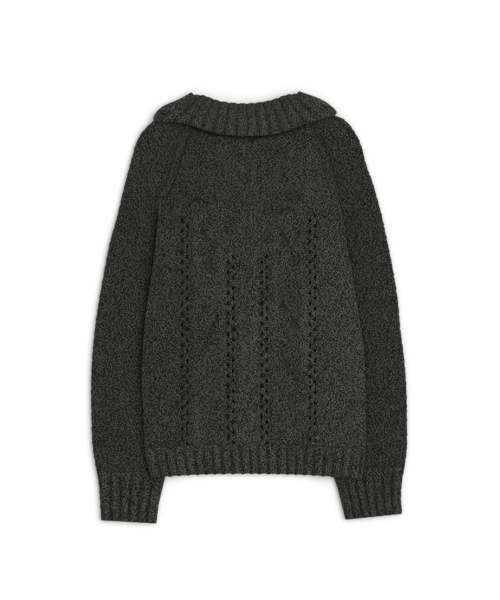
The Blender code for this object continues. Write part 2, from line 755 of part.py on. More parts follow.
def collar_place(column, row):
    step = 0.02
    middle = collar_middle(column, row)
    ahead = collar_middle(min(column + step, COLLAR_COLUMNS), row)
    behind = collar_middle(max(column - step, 0), row)
    above = collar_middle(column, min(row + step, COLLAR_ROWS))
    below = collar_middle(column, max(row - step, 0))
    normal = (ahead - behind).cross(above - below).normalized()
    start = FRONT_SPAN + TURN_SPAN
    on_back = start < column < start + BACK_SPAN
    shown = soft((row - STAND_ROWS - 1) / 2) * on_back
    relief = RIB_RAISE * rib((column - start) / 4) * shown
    return middle + normal * (WALL / 2 + relief), middle - normal * WALL / 2


def make_collar():
    start = FRONT_SPAN + TURN_SPAN

    def merge(column, row, inside):
        if column < start or column >= start + BACK_SPAN:
            return None
        if row < STAND_ROWS or (inside and row >= STAND_ROWS + FOLD_ROWS):
            return (column - start) // 4, row >= STAND_ROWS
        return None

    return cloth("collar", COLLAR_COLUMNS, COLLAR_ROWS, collar_place, merge=merge)


# ------------------------------------------------------------------------------------- the zip

def strip(name, left, right, low, high, bottom, top):
    """A flat bar along the zip that follows the rise of the fronts near the collar."""
    bends = [bottom, *(y for y in ZIP_BENDS if bottom < y < top), top]

    def place(column, row):
        x = left if column == 0 else right
        y = bends[round(row)]
        ground = body_floor(0, y)
        return (x, y, ground + high), (x, y, ground + low)
    return cloth(name, 1, len(bends) - 1, place)


def block(mesh, size, middle):
    """Add a box to a bmesh."""
    place = Matrix.Translation(Vector(middle) * MM) @ Matrix.Diagonal((*(Vector(size) * MM), 1))
    bmesh.ops.create_cube(mesh, size=1, matrix=place)


def joined(name, boxes):
    """One solid from boxes, joined by a Boolean union."""
    pieces = []
    for number, (size, middle) in enumerate(boxes):
        mesh = bmesh.new()
        block(mesh, size, middle)
        pieces.append(finish(f"{name}_{number}", mesh))
    whole = pieces[0]
    whole.name = name
    for other in pieces[1:]:
        union = whole.modifiers.new("union", "BOOLEAN")
        union.operation = "UNION"
        union.object = other
    bpy.context.view_layer.update()
    graph = bpy.context.evaluated_depsgraph_get()
    shape = bpy.data.meshes.new_from_object(whole.evaluated_get(graph))
    whole.modifiers.clear()
    whole.data = shape
    for other in pieces[1:]:
        bpy.data.objects.remove(other)
    return whole


def make_slider():
    """Two plates joined by a post at the top, and the bridge that holds the pull."""
    base = OVER_COLLAR
    y = SLIDER_Y
    return joined("zip_slider", (
        ((10, 14, 1.0), (0, y, base + 1.7)),
        ((10, 14, 0.9), (0, y, base + 5.15)),
        ((2.4, 3, 4.2), (0, y + 5.4, base + 3.4)),
        ((2, 1.2, 3.4), (0, y + 4.2, base - 0.1)),
        ((2, 1.2, 3.4), (0, y - 3.8, base - 0.1)),
        ((2, 9.2, 0.9), (0, y + 0.2, base - 1.5)),
    ))


def make_pull():
    """The pull: a ring round the bridge and a plain tab, lying flat towards the hem."""
    arm = 7.5
    return joined("zip_pull", (
        ((5.4, 1.1, 1.1), (0, 0, 0)),
        ((1.2, arm, 1.1), (-2.1, -arm / 2 + 0.5, 0)),
        ((1.2, arm, 1.1), (2.1, -arm / 2 + 0.5, 0)),
        ((5.4, PULL_LENGTH - arm + 1.5, 1.1), (0, -(PULL_LENGTH + arm - 1.5) / 2 + 0.5, 0)),
    ))


def make_zip():
    """The two tapes, the closed chain between them and the box at its lower end."""
    low = hem_bottom(0) + 1
    inner = CHAIN_HALF + SEAM
    return [strip("zip_tape_left", -TAPE_OUTER, -inner, TAPE_LOW, TAPE_HIGH, low, ZIP_TAPE_TOP),
            strip("zip_tape_right", inner, TAPE_OUTER, TAPE_LOW, TAPE_HIGH, low, ZIP_TAPE_TOP),
            strip("zip_chain", -CHAIN_HALF, CHAIN_HALF, CHAIN_LOW, CHAIN_HIGH, low + 7, CHAIN_TOP),
            joined("zip_box", (((8, 5.5, 2.6), (0, low + 3.2, 1.6)),))]


# ------------------------------------------------------------------------------------ materials

def material(name, colour, roughness, metallic=0.0):
    """A plain material of one colour."""
    made = bpy.data.materials.new(name)
    made.use_nodes = True
    shader = made.node_tree.nodes["Principled BSDF"]
    shader.inputs["Base Color"].default_value = (*colour, 1.0)
    shader.inputs["Roughness"].default_value = roughness
    shader.inputs["Metallic"].default_value = metallic
    return made


def wool(name, lightness):
    return material(name, (0.036 * lightness, 0.036 * lightness, 0.031 * lightness), 0.95)


def dress(pieces):
    """Give each piece its own material."""
    for piece in pieces:
        if piece.name in ("zip_chain", "zip_box", "zip_slider", "zip_pull"):
            piece.data.materials.append(material(piece.name, (0.20, 0.19, 0.17), 0.35, 1.0))
        elif piece.name.startswith("zip_tape"):
            piece.data.materials.append(material(piece.name, (0.02, 0.02, 0.018), 0.85))
        elif piece.name.startswith(("sleeve", "cuff")):
            piece.data.materials.append(wool(piece.name, 0.85))
        else:
            piece.data.materials.append(wool(piece.name, 1.0))


def centre_on_origin(pieces, pull):
    """Stand the whole on z = 0, centred over the origin, with an empty that carries it all."""
    bpy.context.view_layer.update()
    corners = [piece.matrix_world @ vert.co for piece in pieces for vert in piece.data.vertices]
    low = Vector(min(c[axis] for c in corners) for axis in range(3))
    high = Vector(max(c[axis] for c in corners) for axis in range(3))
    carrier = bpy.data.objects.new("cardigan_place", None)
    bpy.data.collections["zip_up_cardigan"].objects.link(carrier)
    carrier.location = (-(low.x + high.x) / 2, -(low.y + high.y) / 2, -low.z)
    for piece in pieces:
        piece.parent = carrier
    bpy.context.view_layer.update()
    print("pull axis (m):", tuple(round(c, 5) for c in pull.matrix_world.translation))
    print("size (m):", tuple(round(c, 4) for c in (high - low)))


def main():
    for old in list(bpy.data.objects):
        bpy.data.objects.remove(old)
    group = bpy.data.collections.new("zip_up_cardigan")
    bpy.context.scene.collection.children.link(group)
    pull = make_pull()
    pull.location = Vector((0, SLIDER_Y, OVER_COLLAR + 0.15)) * MM
    pieces = [
        make_back(),
        make_back_hem(),
        make_front("front_left", -1),
        make_front("front_right", 1),
        make_front_hem("front_hem_rib_left", -1),
        make_front_hem("front_hem_rib_right", 1),
        make_sleeve("sleeve_left", -1),
        make_sleeve("sleeve_right", 1),
        make_cuff("cuff_left", -1),
        make_cuff("cuff_right", 1),
        make_collar(),
        *make_zip(),
        make_slider(),
        pull,
    ]
    dress(pieces)
    centre_on_origin(pieces, pull)


main()
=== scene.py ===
# %% [markdown]
# # A chunky wool zip-up cardigan, laid face down
#
# The garment lies on a pale table with its back up: raglan sleeves, a wide rib collar folded
# down over the back neck, rib hem and cuffs, and four columns of eyelets between cable panels.
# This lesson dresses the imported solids: every knitted piece is made again as a thin shell with
# its cables, ribs, eyelets and soft creases, and gets a wool material made from nodes.

import math

import bmesh
import bpy
import numpy as np
from mathutils import Matrix, Vector


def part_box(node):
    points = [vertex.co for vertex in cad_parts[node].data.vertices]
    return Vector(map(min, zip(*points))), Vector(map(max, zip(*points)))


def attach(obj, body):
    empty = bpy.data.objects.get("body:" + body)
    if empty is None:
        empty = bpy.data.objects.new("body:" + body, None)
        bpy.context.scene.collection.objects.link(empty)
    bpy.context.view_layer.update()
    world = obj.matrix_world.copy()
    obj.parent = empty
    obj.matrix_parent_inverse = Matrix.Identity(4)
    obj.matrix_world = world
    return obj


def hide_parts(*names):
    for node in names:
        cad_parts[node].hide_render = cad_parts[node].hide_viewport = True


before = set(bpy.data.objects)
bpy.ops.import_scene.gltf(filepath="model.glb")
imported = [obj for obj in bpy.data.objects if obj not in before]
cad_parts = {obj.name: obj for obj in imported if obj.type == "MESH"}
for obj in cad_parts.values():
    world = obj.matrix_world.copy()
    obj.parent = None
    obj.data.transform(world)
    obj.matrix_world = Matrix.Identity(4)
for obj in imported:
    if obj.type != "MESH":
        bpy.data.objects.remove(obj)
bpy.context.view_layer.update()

# %% [markdown]
# ## The drawing
#
# A knitter works from a drawing with measurements, so this script does too. It is in
# millimetres, seen from above, with the hem down and the wearer's left on the left. The slider
# of the zip sits at a known height in the drawing, and its solid tells where that is in the
# frame. Everything that is drawn moves there with one shift.

# %% Sizes of the cloth and of the drawing
MM = 0.001
SLIDER_Y = 264.0           # height of the zip's slider in the drawing

WALL = 3.0                 # thickness of one layer of the knit
HOLLOW = 3.0               # room between the front and the back layer
BODY_HEIGHT = WALL + HOLLOW + WALL
SEAM = 0.1                 # gap between two pieces where they are sewn
SIDE_ROUND = BODY_HEIGHT / 2 - SEAM / 2
SIDE_FADE = 25.0           # the side edge turns from flat to round over this length

STITCH = 4.37              # width of one stitch
COURSE = 3.183             # height of one row of stitches

slider_low, slider_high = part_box("zip_slider")
SHIFT = np.array([(slider_low[0] + slider_high[0]) / 2 / MM,
                  (slider_low[1] + slider_high[1]) / 2 / MM - SLIDER_Y, 0.0])
print("drawing moves by (mm):", SHIFT.round(2))

# %% [markdown]
# ## Tables
#
# Outlines are short tables with named columns. A value between two rows is looked up on a
# straight line, or on a soft curve where cloth bends smoothly. The lookups take whole arrays,
# because a fine mesh asks for many thousand points at once.

# %% A table with named columns
class Table:
    """A short table. Its first column is the one that is looked up."""

    def __init__(self, names, *rows):
        self.names = names.split()
        self.values = np.array(rows, dtype=float)
        self.keys = self.values[:, 0]

    def column(self, name):
        return self.values[:, self.names.index(name)]

    def at(self, name, key):
        """Straight lines between the rows."""
        return np.interp(key, self.keys, self.column(name))

    def smooth(self, name, key):
        """A soft curve through the rows."""
        values, keys = self.column(name), self.keys
        last = len(keys) - 1
        before = np.maximum(np.arange(last + 1) - 1, 0)
        after = np.minimum(np.arange(last + 1) + 1, last)
        slope = (values[after] - values[before]) / (keys[after] - keys[before])
        row = np.clip(np.searchsorted(keys, key, side="right") - 1, 0, last - 1)
        width = keys[row + 1] - keys[row]
        part = np.clip((key - keys[row]) / width, 0, 1)
        square, cube = part ** 2, part ** 3
        return (values[row] * (2 * cube - 3 * square + 1)
                + values[row + 1] * (3 * square - 2 * cube)
                + width * slope[row] * (cube - 2 * square + part)
                + width * slope[row + 1] * (cube - square))

# %% Outline of the body and the neckline
UNDERARM_Y = 202.0
HEM_SEAM_Y = -254.0
HEM_HEIGHT = 55.0
HEM_DROP = 8.0             # the hem's corners hang this much lower than its middle
HEM_HALF = 200.0           # half the hem's width
SAG_TOP, SAG_LENGTH = 100, 350   # where the rows start to sag, and over what length
NECK_CORNER = (108, 342)   # where the raglan seams meet the collar

BODY = Table("y left right",
             (-325, -176, 207), (-315, -178, 209), (-278, -188, 214), (-242, -193, 217),
             (-181, -195, 217), (-130, -198, 216), (-80, -196, 214), (-11, -190, 204),
             (56, -180, 193), (111, -173, 183), (157, -168, 176), (202, -164, 167),
             (224, -152, 160), (256, -142, 151), (287, -132, 142), (315, -122, 121),
             (328, -115, 115), (342, -108, 108))
BACK_NECK = Table("x y", (-108, 342), (-60, 336), (-5, 334), (52, 336), (108, 342))
FRONT_NECK = {-1: Table("x y", (-108, 342), (-75, 296), (-7, 276)),
              1: Table("x y", (7, 276), (75, 296), (108, 342))}
print("body at the underarm:", BODY.at("right", UNDERARM_Y) - BODY.at("left", UNDERARM_Y), "mm")

# %% Sleeves and cuffs, a row for each cross-section
SECTION = "station outer_x outer_y inner_x inner_y"
SLEEVE = {-1: Table(SECTION,
                    (0, -127, 371, -108, 342), (1, -156, 356, -115, 328),
                    (2, -184, 338, -122, 315), (3, -206, 309, -132, 287),
                    (4, -220, 262, -142, 256), (5, -228, 232, -154, 224),
                    (6, -234, 208, -164, 202), (7, -239, 186, -166, 182),
                    (8, -245, 162, -168, 162), (9, -252, 138, -145, 138),
                    (10, -258, 115, -122, 115), (11, -267, 69, -110, 69),
                    (12, -277, 13, -101, 13), (13, -285, -43, -101, -43),
                    (14, -290, -98, -108, -98), (15, -292, -154, -116, -154),
                    (16, -291, -209, -125, -209), (17, -289, -259, -138, -259),
                    (18, -282, -303, -152, -306)),
          1: Table(SECTION,
                   (0, 124, 371, 108, 342), (1, 151, 357, 115, 328),
                   (2, 179, 346, 122, 315), (3, 205, 310, 142, 287),
                   (4, 219, 262, 151, 256), (5, 230, 232, 161, 224),
                   (6, 237, 208, 167, 202), (7, 243, 186, 172, 182),
                   (8, 249, 162, 176, 162), (9, 254, 138, 155, 138),
                   (10, 259, 115, 132, 115), (11, 268, 69, 122, 69),
                   (12, 277, 13, 116, 13), (13, 282, -43, 116, -43),
                   (14, 289, -98, 120, -98), (15, 293, -154, 126, -154),
                   (16, 294, -209, 134, -209), (17, 294, -259, 142, -259),
                   (18, 290, -294, 152, -301))}
CUFF = {-1: Table(SECTION,
                  (0, -282, -303.4, -152, -306.4), (1, -279, -318, -155, -321),
                  (2, -277, -334, -159, -337), (3, -275, -364, -166, -368),
                  (4, -273, -395, -170, -401)),
        1: Table(SECTION,
                 (0, 290, -294.4, 152, -301.4), (1, 286, -315, 160, -323),
                 (2, 284, -330, 165, -338), (3, 283, -355, 172, -366),
                 (4, 285, -383, 179, -394))}
print("cross-sections of a sleeve:", len(SLEEVE[1].keys), "and of a cuff:", len(CUFF[1].keys))

# %% The collar: neck seam, fold and free edge
STRIP = "share neck_x neck_y fold_x fold_y edge_x edge_y"
COLLAR_BACK = Table(STRIP,
                    (0, -127, 371, -106, 399, -177, 350),
                    (7 / 56, -108, 342, -82, 391, -121, 340),
                    (17 / 56, -60, 336, -50, 380, -64, 322),
                    (28 / 56, -5, 334, -5, 376, -6, 316),
                    (39 / 56, 52, 336, 36, 381, 53, 321),
                    (49 / 56, 108, 342, 70, 392, 106, 339),
                    (1, 124, 371, 94, 401, 165, 361))
COLLAR_FRONT = {-1: Table(STRIP,
                          (0.0, -127, 371, -106, 399, -177, 350),
                          (0.2, -108, 342, -82, 366, -152, 316),
                          (0.6, -75, 296, -52, 330, -106, 272),
                          (1.0, -8, 276, -8, 305, -42, 238)),
                1: Table(STRIP,
                         (0.0, 124, 371, 94, 401, 165, 361),
                         (0.2, 108, 342, 80, 368, 142, 316),
                         (0.6, 75, 296, 52, 330, 104, 272),
                         (1.0, 8, 276, 8, 305, 42, 238))}
COLLAR_LINE = Table("x y", *zip(COLLAR_BACK.column("edge_x"), COLLAR_BACK.column("edge_y")))
print("the collar's edge is", np.ptp(COLLAR_LINE.keys), "mm across on the back")
COLLAR_REACH = Table("x left right",
                     (0, 234, 234), (42, 238, 238), (105, 267, 270), (147, 303, 313),
                     (165, 322, 332), (205, 368, 378))

# %% [markdown]
# ## How the layers lie on each other
#
# The sleeves lie on the table and the body's sides lie over them, and the collar's front half
# lies under the fronts. So the body is not flat: it climbs softly wherever a layer runs under
# it. These height fields are the same as in the solids, and every piece asks them for its
# ground.

# %% Soft steps and blends
def soft(value):
    """An S-curve from 0 to 1."""
    value = np.clip(value, 0, 1)
    return value * value * (3 - 2 * value)


def mix(start, end, part):
    """A value between start (part 0) and end (part 1)."""
    return start + (end - start) * part


def inside_of(share, steep):
    """1 inside a face, falling softly to 0 at both of its edges, at share 0 and share 1."""
    return soft(share * steep) * soft((1 - share) * steep)


def bump(distance, width):
    """A soft hill: 1 in the middle, almost 0 two widths away."""
    return np.exp(-(distance / width) ** 2)

# %% Heights of the layers
HIDDEN_SLEEVE = 7.2        # height of a sleeve where the body lies on it
OPEN_SLEEVE = 9.6          # height of a sleeve where it lies free
OVER_SLEEVE = 8.0          # the body's rise over a sleeve
OVER_COLLAR = 3.8          # the rise over the collar's front half
SLEEVE_RAMP = 30.0
COLLAR_RAMP = 45.0
CLEAR_OF_BODY = 6.0        # a sleeve starts to grow thicker this far outside the body
FREE_RAMP = 25.0           # and has done so over this length
EDGE_MARGIN = 14.0         # the layers on top start to rise this far before a lower one's edge
DIVE = 41.0                # below the underarm the sleeve turns in under the body


def body_edge(side, y):
    """Plan x of the body's edge: left where side is -1, right where it is 1."""
    return np.where(np.asarray(side) < 0, BODY.smooth("left", y), BODY.smooth("right", y))


def hidden_edge(side, y):
    """Plan x of the sleeve's inner edge under the body."""
    found = []
    for table in (SLEEVE[-1], SLEEVE[1]):
        under = table.column("inner_y") <= UNDERARM_Y - DIVE + 1
        heights, places = table.column("inner_y")[under], table.column("inner_x")[under]
        found.append(np.interp(np.minimum(y, UNDERARM_Y - DIVE), heights[::-1], places[::-1]))
    return np.where(np.asarray(side) < 0, found[0], found[1])


def collar_rise(x, y):
    """How far the collar's front half holds up what lies over it."""
    reach = np.where(x < 0, COLLAR_REACH.at("left", abs(x)), COLLAR_REACH.at("right", abs(x)))
    return OVER_COLLAR * soft((y - reach + EDGE_MARGIN + COLLAR_RAMP) / COLLAR_RAMP)


def sleeve_rise(x, y):
    """How far a sleeve holds up the body's side."""
    side = np.where(x < 0, -1, 1)
    inside = side * (hidden_edge(side, y) - x) - EDGE_MARGIN
    return OVER_SLEEVE * soft(1 - inside / SLEEVE_RAMP) * soft((UNDERARM_Y - y) / DIVE)


def body_floor(x, y):
    """Height of the body's underside."""
    return collar_rise(x, y) + sleeve_rise(x, y)


def hem_bottom(x):
    """Plan y of the body's lower edge."""
    return HEM_SEAM_Y - HEM_HEIGHT - HEM_DROP * (x / HEM_HALF) ** 2


def hem_sag(x, y):
    """How far the rows sink towards the hem's corners."""
    return -HEM_DROP * (x / HEM_HALF) ** 2 * soft((SAG_TOP - y) / SAG_LENGTH)


print("the body climbs at its left edge by", round(float(body_floor(-190.0, 0.0)), 1), "mm")

# %% [markdown]
# ## Soft creases
#
# Wool this thick has few and shallow folds. Each one is given in a table: where it
# lies, which way it runs, its size, and whether it stands up or sinks in. Under them is a slow
# unevenness from a few long waves, as on cloth that was laid out by hand.

# %% Where the creases are
CREASE = "x y angle half_length half_width height"
BACK_CREASES = Table(CREASE,
                     (-128, 176, 62, 70, 7, -1.2), (-112, 190, 66, 60, 8, 0.9),
                     (132, 172, 118, 72, 7, -1.2), (116, 192, 112, 60, 8, 0.9),
                     (-40, 262, 8, 75, 9, -0.8), (58, 246, -10, 70, 9, -0.7),
                     (-150, -30, 80, 95, 10, -0.9), (168, -60, 97, 100, 11, -0.9),
                     (-95, -205, 4, 80, 9, 0.7), (105, -212, -5, 85, 9, 0.7),
                     (10, -120, 3, 90, 12, -0.6), (160, 84, 70, 60, 9, 0.8))
FRONT_CREASES = Table(CREASE,
                      (-130, 150, 70, 60, 8, -0.9), (128, 160, 112, 60, 8, -0.9),
                      (-90, -120, 10, 70, 10, -0.7), (95, -80, -12, 70, 10, -0.7))
SLEEVE_CREASES = {-1: Table(CREASE,
                            (-212, 205, -18, 46, 6, -1.3), (-222, 186, -14, 42, 6, 1.0),
                            (-225, 120, -8, 44, 7, -1.1), (-238, 60, 6, 40, 7, 0.9),
                            (-240, 22, 12, 46, 6, -1.2), (-246, -35, -8, 46, 8, 1.0),
                            (-244, -92, 7, 42, 7, -1.1), (-250, -150, -10, 40, 7, 0.9),
                            (-236, -205, 8, 46, 7, -1.2), (-222, -262, -4, 52, 7, -1.0),
                            (-170, 300, 52, 46, 8, -0.9)),
                  1: Table(CREASE,
                           (214, 208, 20, 46, 6, -1.3), (228, 184, 12, 42, 6, 1.0),
                           (232, 112, 10, 44, 7, -1.1), (240, 52, -8, 42, 7, 0.9),
                           (248, 8, -12, 44, 6, -1.2), (250, -52, 8, 42, 8, 1.0),
                           (246, -108, -8, 44, 7, -1.1), (254, -168, 12, 40, 7, 0.9),
                           (240, -214, -8, 46, 7, -1.2), (226, -258, 5, 50, 7, -1.0),
                           (172, 298, 128, 46, 8, -0.9))}
print("creases drawn:", sum(len(t.values) for t in (BACK_CREASES, FRONT_CREASES,
                                                    SLEEVE_CREASES[-1], SLEEVE_CREASES[1])))

# %% The height of creases, and unevenness
CREASE_FADE = 1.4          # how steeply a crease fades at its ends


def creases(x, y, table):
    """Height of all creases of a table at a point of the drawing."""
    total = np.zeros_like(x)
    for middle_x, middle_y, angle, half_length, half_width, height in table.values:
        turn = math.radians(angle)
        along = (x - middle_x) * math.cos(turn) + (y - middle_y) * math.sin(turn)
        across = (y - middle_y) * math.cos(turn) - (x - middle_x) * math.sin(turn)
        total += height * bump(across, half_width) * soft(
            CREASE_FADE * (1 - abs(along) / half_length))
    return total


SHORT_WAVE, LONG_WAVE, WAVES = 55, 150, 9
waves = np.random.default_rng(7).uniform([SHORT_WAVE, 0, 0], [LONG_WAVE, math.tau, math.tau],
                                         (WAVES, 3))


def uneven(x, y, height):
    """A slow unevenness of about that height."""
    total = np.zeros_like(x)
    for length, heading, phase in waves:
        across = x * math.cos(heading) + y * math.sin(heading)
        total += np.sin(math.tau * across / length + phase)
    return height * total / math.sqrt(len(waves))


def woolly(distance):
    """The small ins and outs of a knitted edge, by the distance along it."""
    return (0.35 * np.sin(distance * 0.70 + 1.0) + 0.30 * np.sin(distance * 0.45 + 2.2)
            + 0.25 * np.sin(distance * 0.27 + 0.4))


FREE_FADE = 15.0           # the waves of the free edge end over this length


def free_edge(y):
    """The waves of the body's side edge. Higher up a sleeve is sewn to it, so it is straight."""
    return woolly(y) * soft((UNDERARM_Y - DIVE - y) / FREE_FADE)


print("an edge waves by about", round(float(np.ptp(woolly(np.arange(500.0)))), 2), "mm")

# %% [markdown]
# ## One way to make every knitted piece
#
# A piece of knitting is a grid: columns of stitches and rows of stitches. So each piece starts
# as a flat bmesh grid in counts of columns and rows. Eyelets are deleted from it, the edges of
# a tube are welded, and an extrusion gives the inner side of the cloth. Only then is it laid
# out: a function takes every column and row at once and gives the outer point, the inner point
# and the painted shade there: darker in furrows and hollows where shade falls, lighter where a
# highlight is painted. The same counts become the UV map, so a stitch pattern follows the cloth
# wherever it bends, and the painted shade becomes an attribute that darkens the wool.

# %% Eyelets and wales
LAYERS = ("column", "row", "inside")
OVAL = 0.95                # how far an eyelet's corners stay out, 1 leaves it square
MOST_PAINTED_SHADE = 1.6              # the painted shade is cut off at this value


def pull_to_oval(grid, holes):
    """Delete two by two cells for each hole, and draw its corners in to an oval."""
    cells = {(c + i, r + j) for c, r in holes for i in (0, 1) for j in (0, 1)}
    doomed = [f for f in grid.faces
              if tuple(int(v) for v in f.calc_center_median()[:2]) in cells]
    corners = {(c + i, r + j): (c + 1, r + 1) for c, r in holes for i in (0, 2) for j in (0, 2)}
    bmesh.ops.delete(grid, geom=doomed, context="FACES")
    for vert in grid.verts:
        middle = corners.get((round(vert.co.x), round(vert.co.y)))
        if middle:
            vert.co.x = mix(middle[0], vert.co.x, OVAL)
            vert.co.y = mix(middle[1], vert.co.y, OVAL)


CLOSING_JUMP = 10          # a jump of more wales than this within a face closes a tube


def number_wales(grid, uv, wale_of):
    """Give each corner the wale of its vertex. Where a tube closes, both ends keep their own."""
    for face in grid.faces:
        wales = [wale_of[loop.vert] for loop in face.loops]
        closing = max(wales) - min(wales) > CLOSING_JUMP
        for loop, wale in zip(face.loops, wales):
            loop[uv].uv.x = -abs(wale) if closing else wale

# %% Knit a piece
def knit(name, columns, rows, lay_out, stitches, holes=(), closed_rows=()):
    """A closed shell of knitting.

    lay_out gives the outer and the inner points in mm, the painted shade, and the wale that each
    point is on, or None where the wales follow the columns. stitches is the number of stitches
    and courses in a cell.
    """
    grid = bmesh.new()
    bmesh.ops.create_grid(grid, x_segments=columns, y_segments=rows, size=0.5)
    for vert in grid.verts:
        vert.co.x = round((vert.co.x + 0.5) * columns)
        vert.co.y = round((vert.co.y + 0.5) * rows)
    if holes:
        pull_to_oval(grid, holes)
    uv = grid.loops.layers.uv.new("stitches")
    for name_of in (*LAYERS, "sunk"):
        grid.verts.layers.float.new(name_of)
    column_of, row_of, inside, sunk = (grid.verts.layers.float[name_of]
                                       for name_of in (*LAYERS, "sunk"))
    for face in grid.faces:
        for loop in face.loops:
            loop[uv].uv = (loop.vert.co.x * stitches[0], loop.vert.co.y * stitches[1])
    for vert in grid.verts:
        vert[column_of], vert[row_of] = vert.co.x, vert.co.y
    ends = {(round(v.co.x), round(v.co.y)): v for v in grid.verts if v.co.x in (0, columns)}
    weld = {ends[columns, row]: ends[0, row] for row in closed_rows}
    if weld:
        bmesh.ops.weld_verts(grid, targetmap=weld)
    grown = bmesh.ops.extrude_face_region(grid, geom=grid.faces[:])["geom"]
    for item in grown:
        if isinstance(item, bmesh.types.BMVert):
            item[inside] = 1.0
    count = np.array([(v[column_of], v[row_of], v[inside]) for v in grid.verts])
    outer, inner, depth, wale = lay_out(count[:, 0], count[:, 1])
    places = (np.where(count[:, 2:] > 0.5, inner, outer) + SHIFT) * MM
    for vert, place, dark in zip(grid.verts, places, np.clip(depth, 0, MOST_PAINTED_SHADE)):
        vert.co = place
        vert[sunk] = dark
    if wale is not None:
        number_wales(grid, uv, dict(zip(grid.verts, wale)))
    for name_of in LAYERS:
        grid.verts.layers.float.remove(grid.verts.layers.float[name_of])
    bmesh.ops.recalc_face_normals(grid, faces=grid.faces[:])
    return finish_piece(name, grid)


def finish_piece(name, shape, smooth=True):
    """Turn a bmesh into an object at the origin, with its place in its mesh."""
    data = bpy.data.meshes.new(name)
    shape.to_mesh(data)
    shape.free()
    data.polygons.foreach_set("use_smooth", [smooth] * len(data.polygons))
    piece = bpy.data.objects.new(name, data)
    bpy.context.scene.collection.objects.link(piece)
    print(name, len(data.polygons), "faces")
    return piece


def points(x, y, z):
    """Three arrays of coordinates as one array of points."""
    return np.stack([x, y, z], axis=-1)

# %% [markdown]
# ## The body's wall
#
# Back and fronts are flat panels whose side edges turn round to meet at the side seam. The
# yoke narrows along the raglan seams up to the neck. A wall point is worked out once here for
# the back, which faces up, and for the fronts, which face down.

# %% Where a column and a row of the body lie
CORE_X = 83.0              # the panels inside this width run straight up to the neck
LACE_X = 129.0             # outer edge of the outermost eyelet columns
TURN = 4                   # columns round a side edge
EDGE_ARC = SIDE_ROUND * math.pi / 2


def spread(base, y, start):
    """Plan x of a column: straight up to start, following the side edge outside it."""
    side = np.where(base < 0, -1, 1)
    widest = abs(body_edge(side, UNDERARM_Y)) - SIDE_ROUND
    flat = abs(body_edge(side, y)) - SIDE_ROUND
    outer = mix(start, flat, np.minimum((abs(base) - start) / (widest - start), 1))
    return side * np.where(abs(base) > start, outer, abs(base))


def yoke(base, part, core, neck):
    """A point between the underarm line (part 0) and the neckline (part 1), in plan."""
    x = spread(base, mix(UNDERARM_Y, NECK_CORNER[1], part), core)
    top_x = spread(base, NECK_CORNER[1], core)
    return x, mix(UNDERARM_Y, neck.smooth("y", top_x) - SEAM / 2, part)


def body_wall(x, y, turn, side, top, lift, relief):
    """Outer and inner points of the back (top 1) or a front (top -1).

    turn goes from 0 on the flat to 1 at the side seam. lift moves the whole wall, as a crease
    does, and relief only its outer face, as a cable does.
    """
    ground = body_floor(x, y)
    face = np.where(top > 0, ground + BODY_HEIGHT, ground) + lift
    rounded = soft((UNDERARM_Y - y) / SIDE_FADE)
    angle = turn * math.pi / 2
    found = []
    for radius, raised in ((SIDE_ROUND, relief), (SIDE_ROUND - WALL, 0.0)):
        out = mix(turn * (SIDE_ROUND - SEAM / 2), radius * np.sin(angle), rounded)
        sink = mix(SIDE_ROUND - radius, SIDE_ROUND - radius * np.cos(angle), rounded)
        found.append(points(x + side * out, y, face - top * sink + raised))
    return found

# %% [markdown]
# ## The back
#
# Four columns of eyelets divide the back. Between them are two panels of crossing cables and
# a spine of nested horseshoes that runs on to the collar. In an eyelet column the holes lie
# left and right in turn, with a slanting strand winding between them. The columns of the mesh
# are half a stitch wide, and a lace column has exactly six of them: two for each hole and two
# between.

# %% Columns and rows of the back
LACE_MIDDLES = (-118.0, -33.3, 29.0, 118.0)
LACE_HALF = 6.8
LACE_ROWS = ((0, 43), (0, 36), (0, 36), (1, 44))   # lowest and highest open row
ROW_PITCH = 3 * COURSE     # two eyelets of one side are two of these apart
YOKE_ROW = 144             # the row at the underarm
YOKE_JOIN = 3              # the last rows below it make up for the rounding
YOKE_COURSES = 44

base_of = []
lace_starts = []
stops = [BODY.at("left", UNDERARM_Y) + SIDE_ROUND]
for middle in LACE_MIDDLES:
    stops += [middle - LACE_HALF, middle + LACE_HALF]
stops.append(BODY.at("right", UNDERARM_Y) - SIDE_ROUND)
for number, (start, end) in enumerate(zip(stops, stops[1:])):
    lace = number % 2 == 1
    cells = 6 if lace else 2 * round((end - start) / STITCH)
    if lace:
        lace_starts.append(len(base_of) + TURN)
    base_of += list(np.linspace(start, end, cells, endpoint=False))
base_of.append(stops[-1])
BACK_COLUMNS = len(base_of) - 1 + 2 * TURN
print("the back has", BACK_COLUMNS, "columns; eyelet columns start at", lace_starts)

# %% Sizes of the back's cables, painted shades and painted highlights
CABLE_RAISE = 2.6
STRAND = 7.0               # half width of a cable strand
LATTICE_PERIOD = 76.4
SPINE_PERIOD = 38.2
LEFT_PANEL = (-75.6, 62.0, 200, 40)   # middle and width, top, and how softly it ends there
RIGHT_PANEL = (73.5, 66.0, 185, 50)
SPINE_PANEL = (-2.0, 42.0)            # middle and width; it runs on under the collar
WALE_RAISE = 0.28          # the wales stand up by this much either way
RAGLAN_BAND = 11.0         # a band of plain stitches beside the raglan seam
BODY_BASE_SHADE = 0.45           # painted shade all over the plain cloth, which leaves room for painted highlights; less is brighter
# Painted shade on the left half and the yoke; painted highlights on the right side, the spine and
# one spot.
LEFT_SHADE, YOKE_SHADE = 0.28, 0.16
RIGHT_HIGHLIGHT, SPINE_HIGHLIGHT, SPOT_HIGHLIGHT = 0.12, 0.2, 0.25
SPOT, SPOT_REACH = (175, 26), (22, 40)   # where the painted highlight on the back is brightest, and how far it goes
ARCHES = Table("x y radius", (-93, 183, 17), (101.8, 130.6, 10), (73.5, 168, 15))
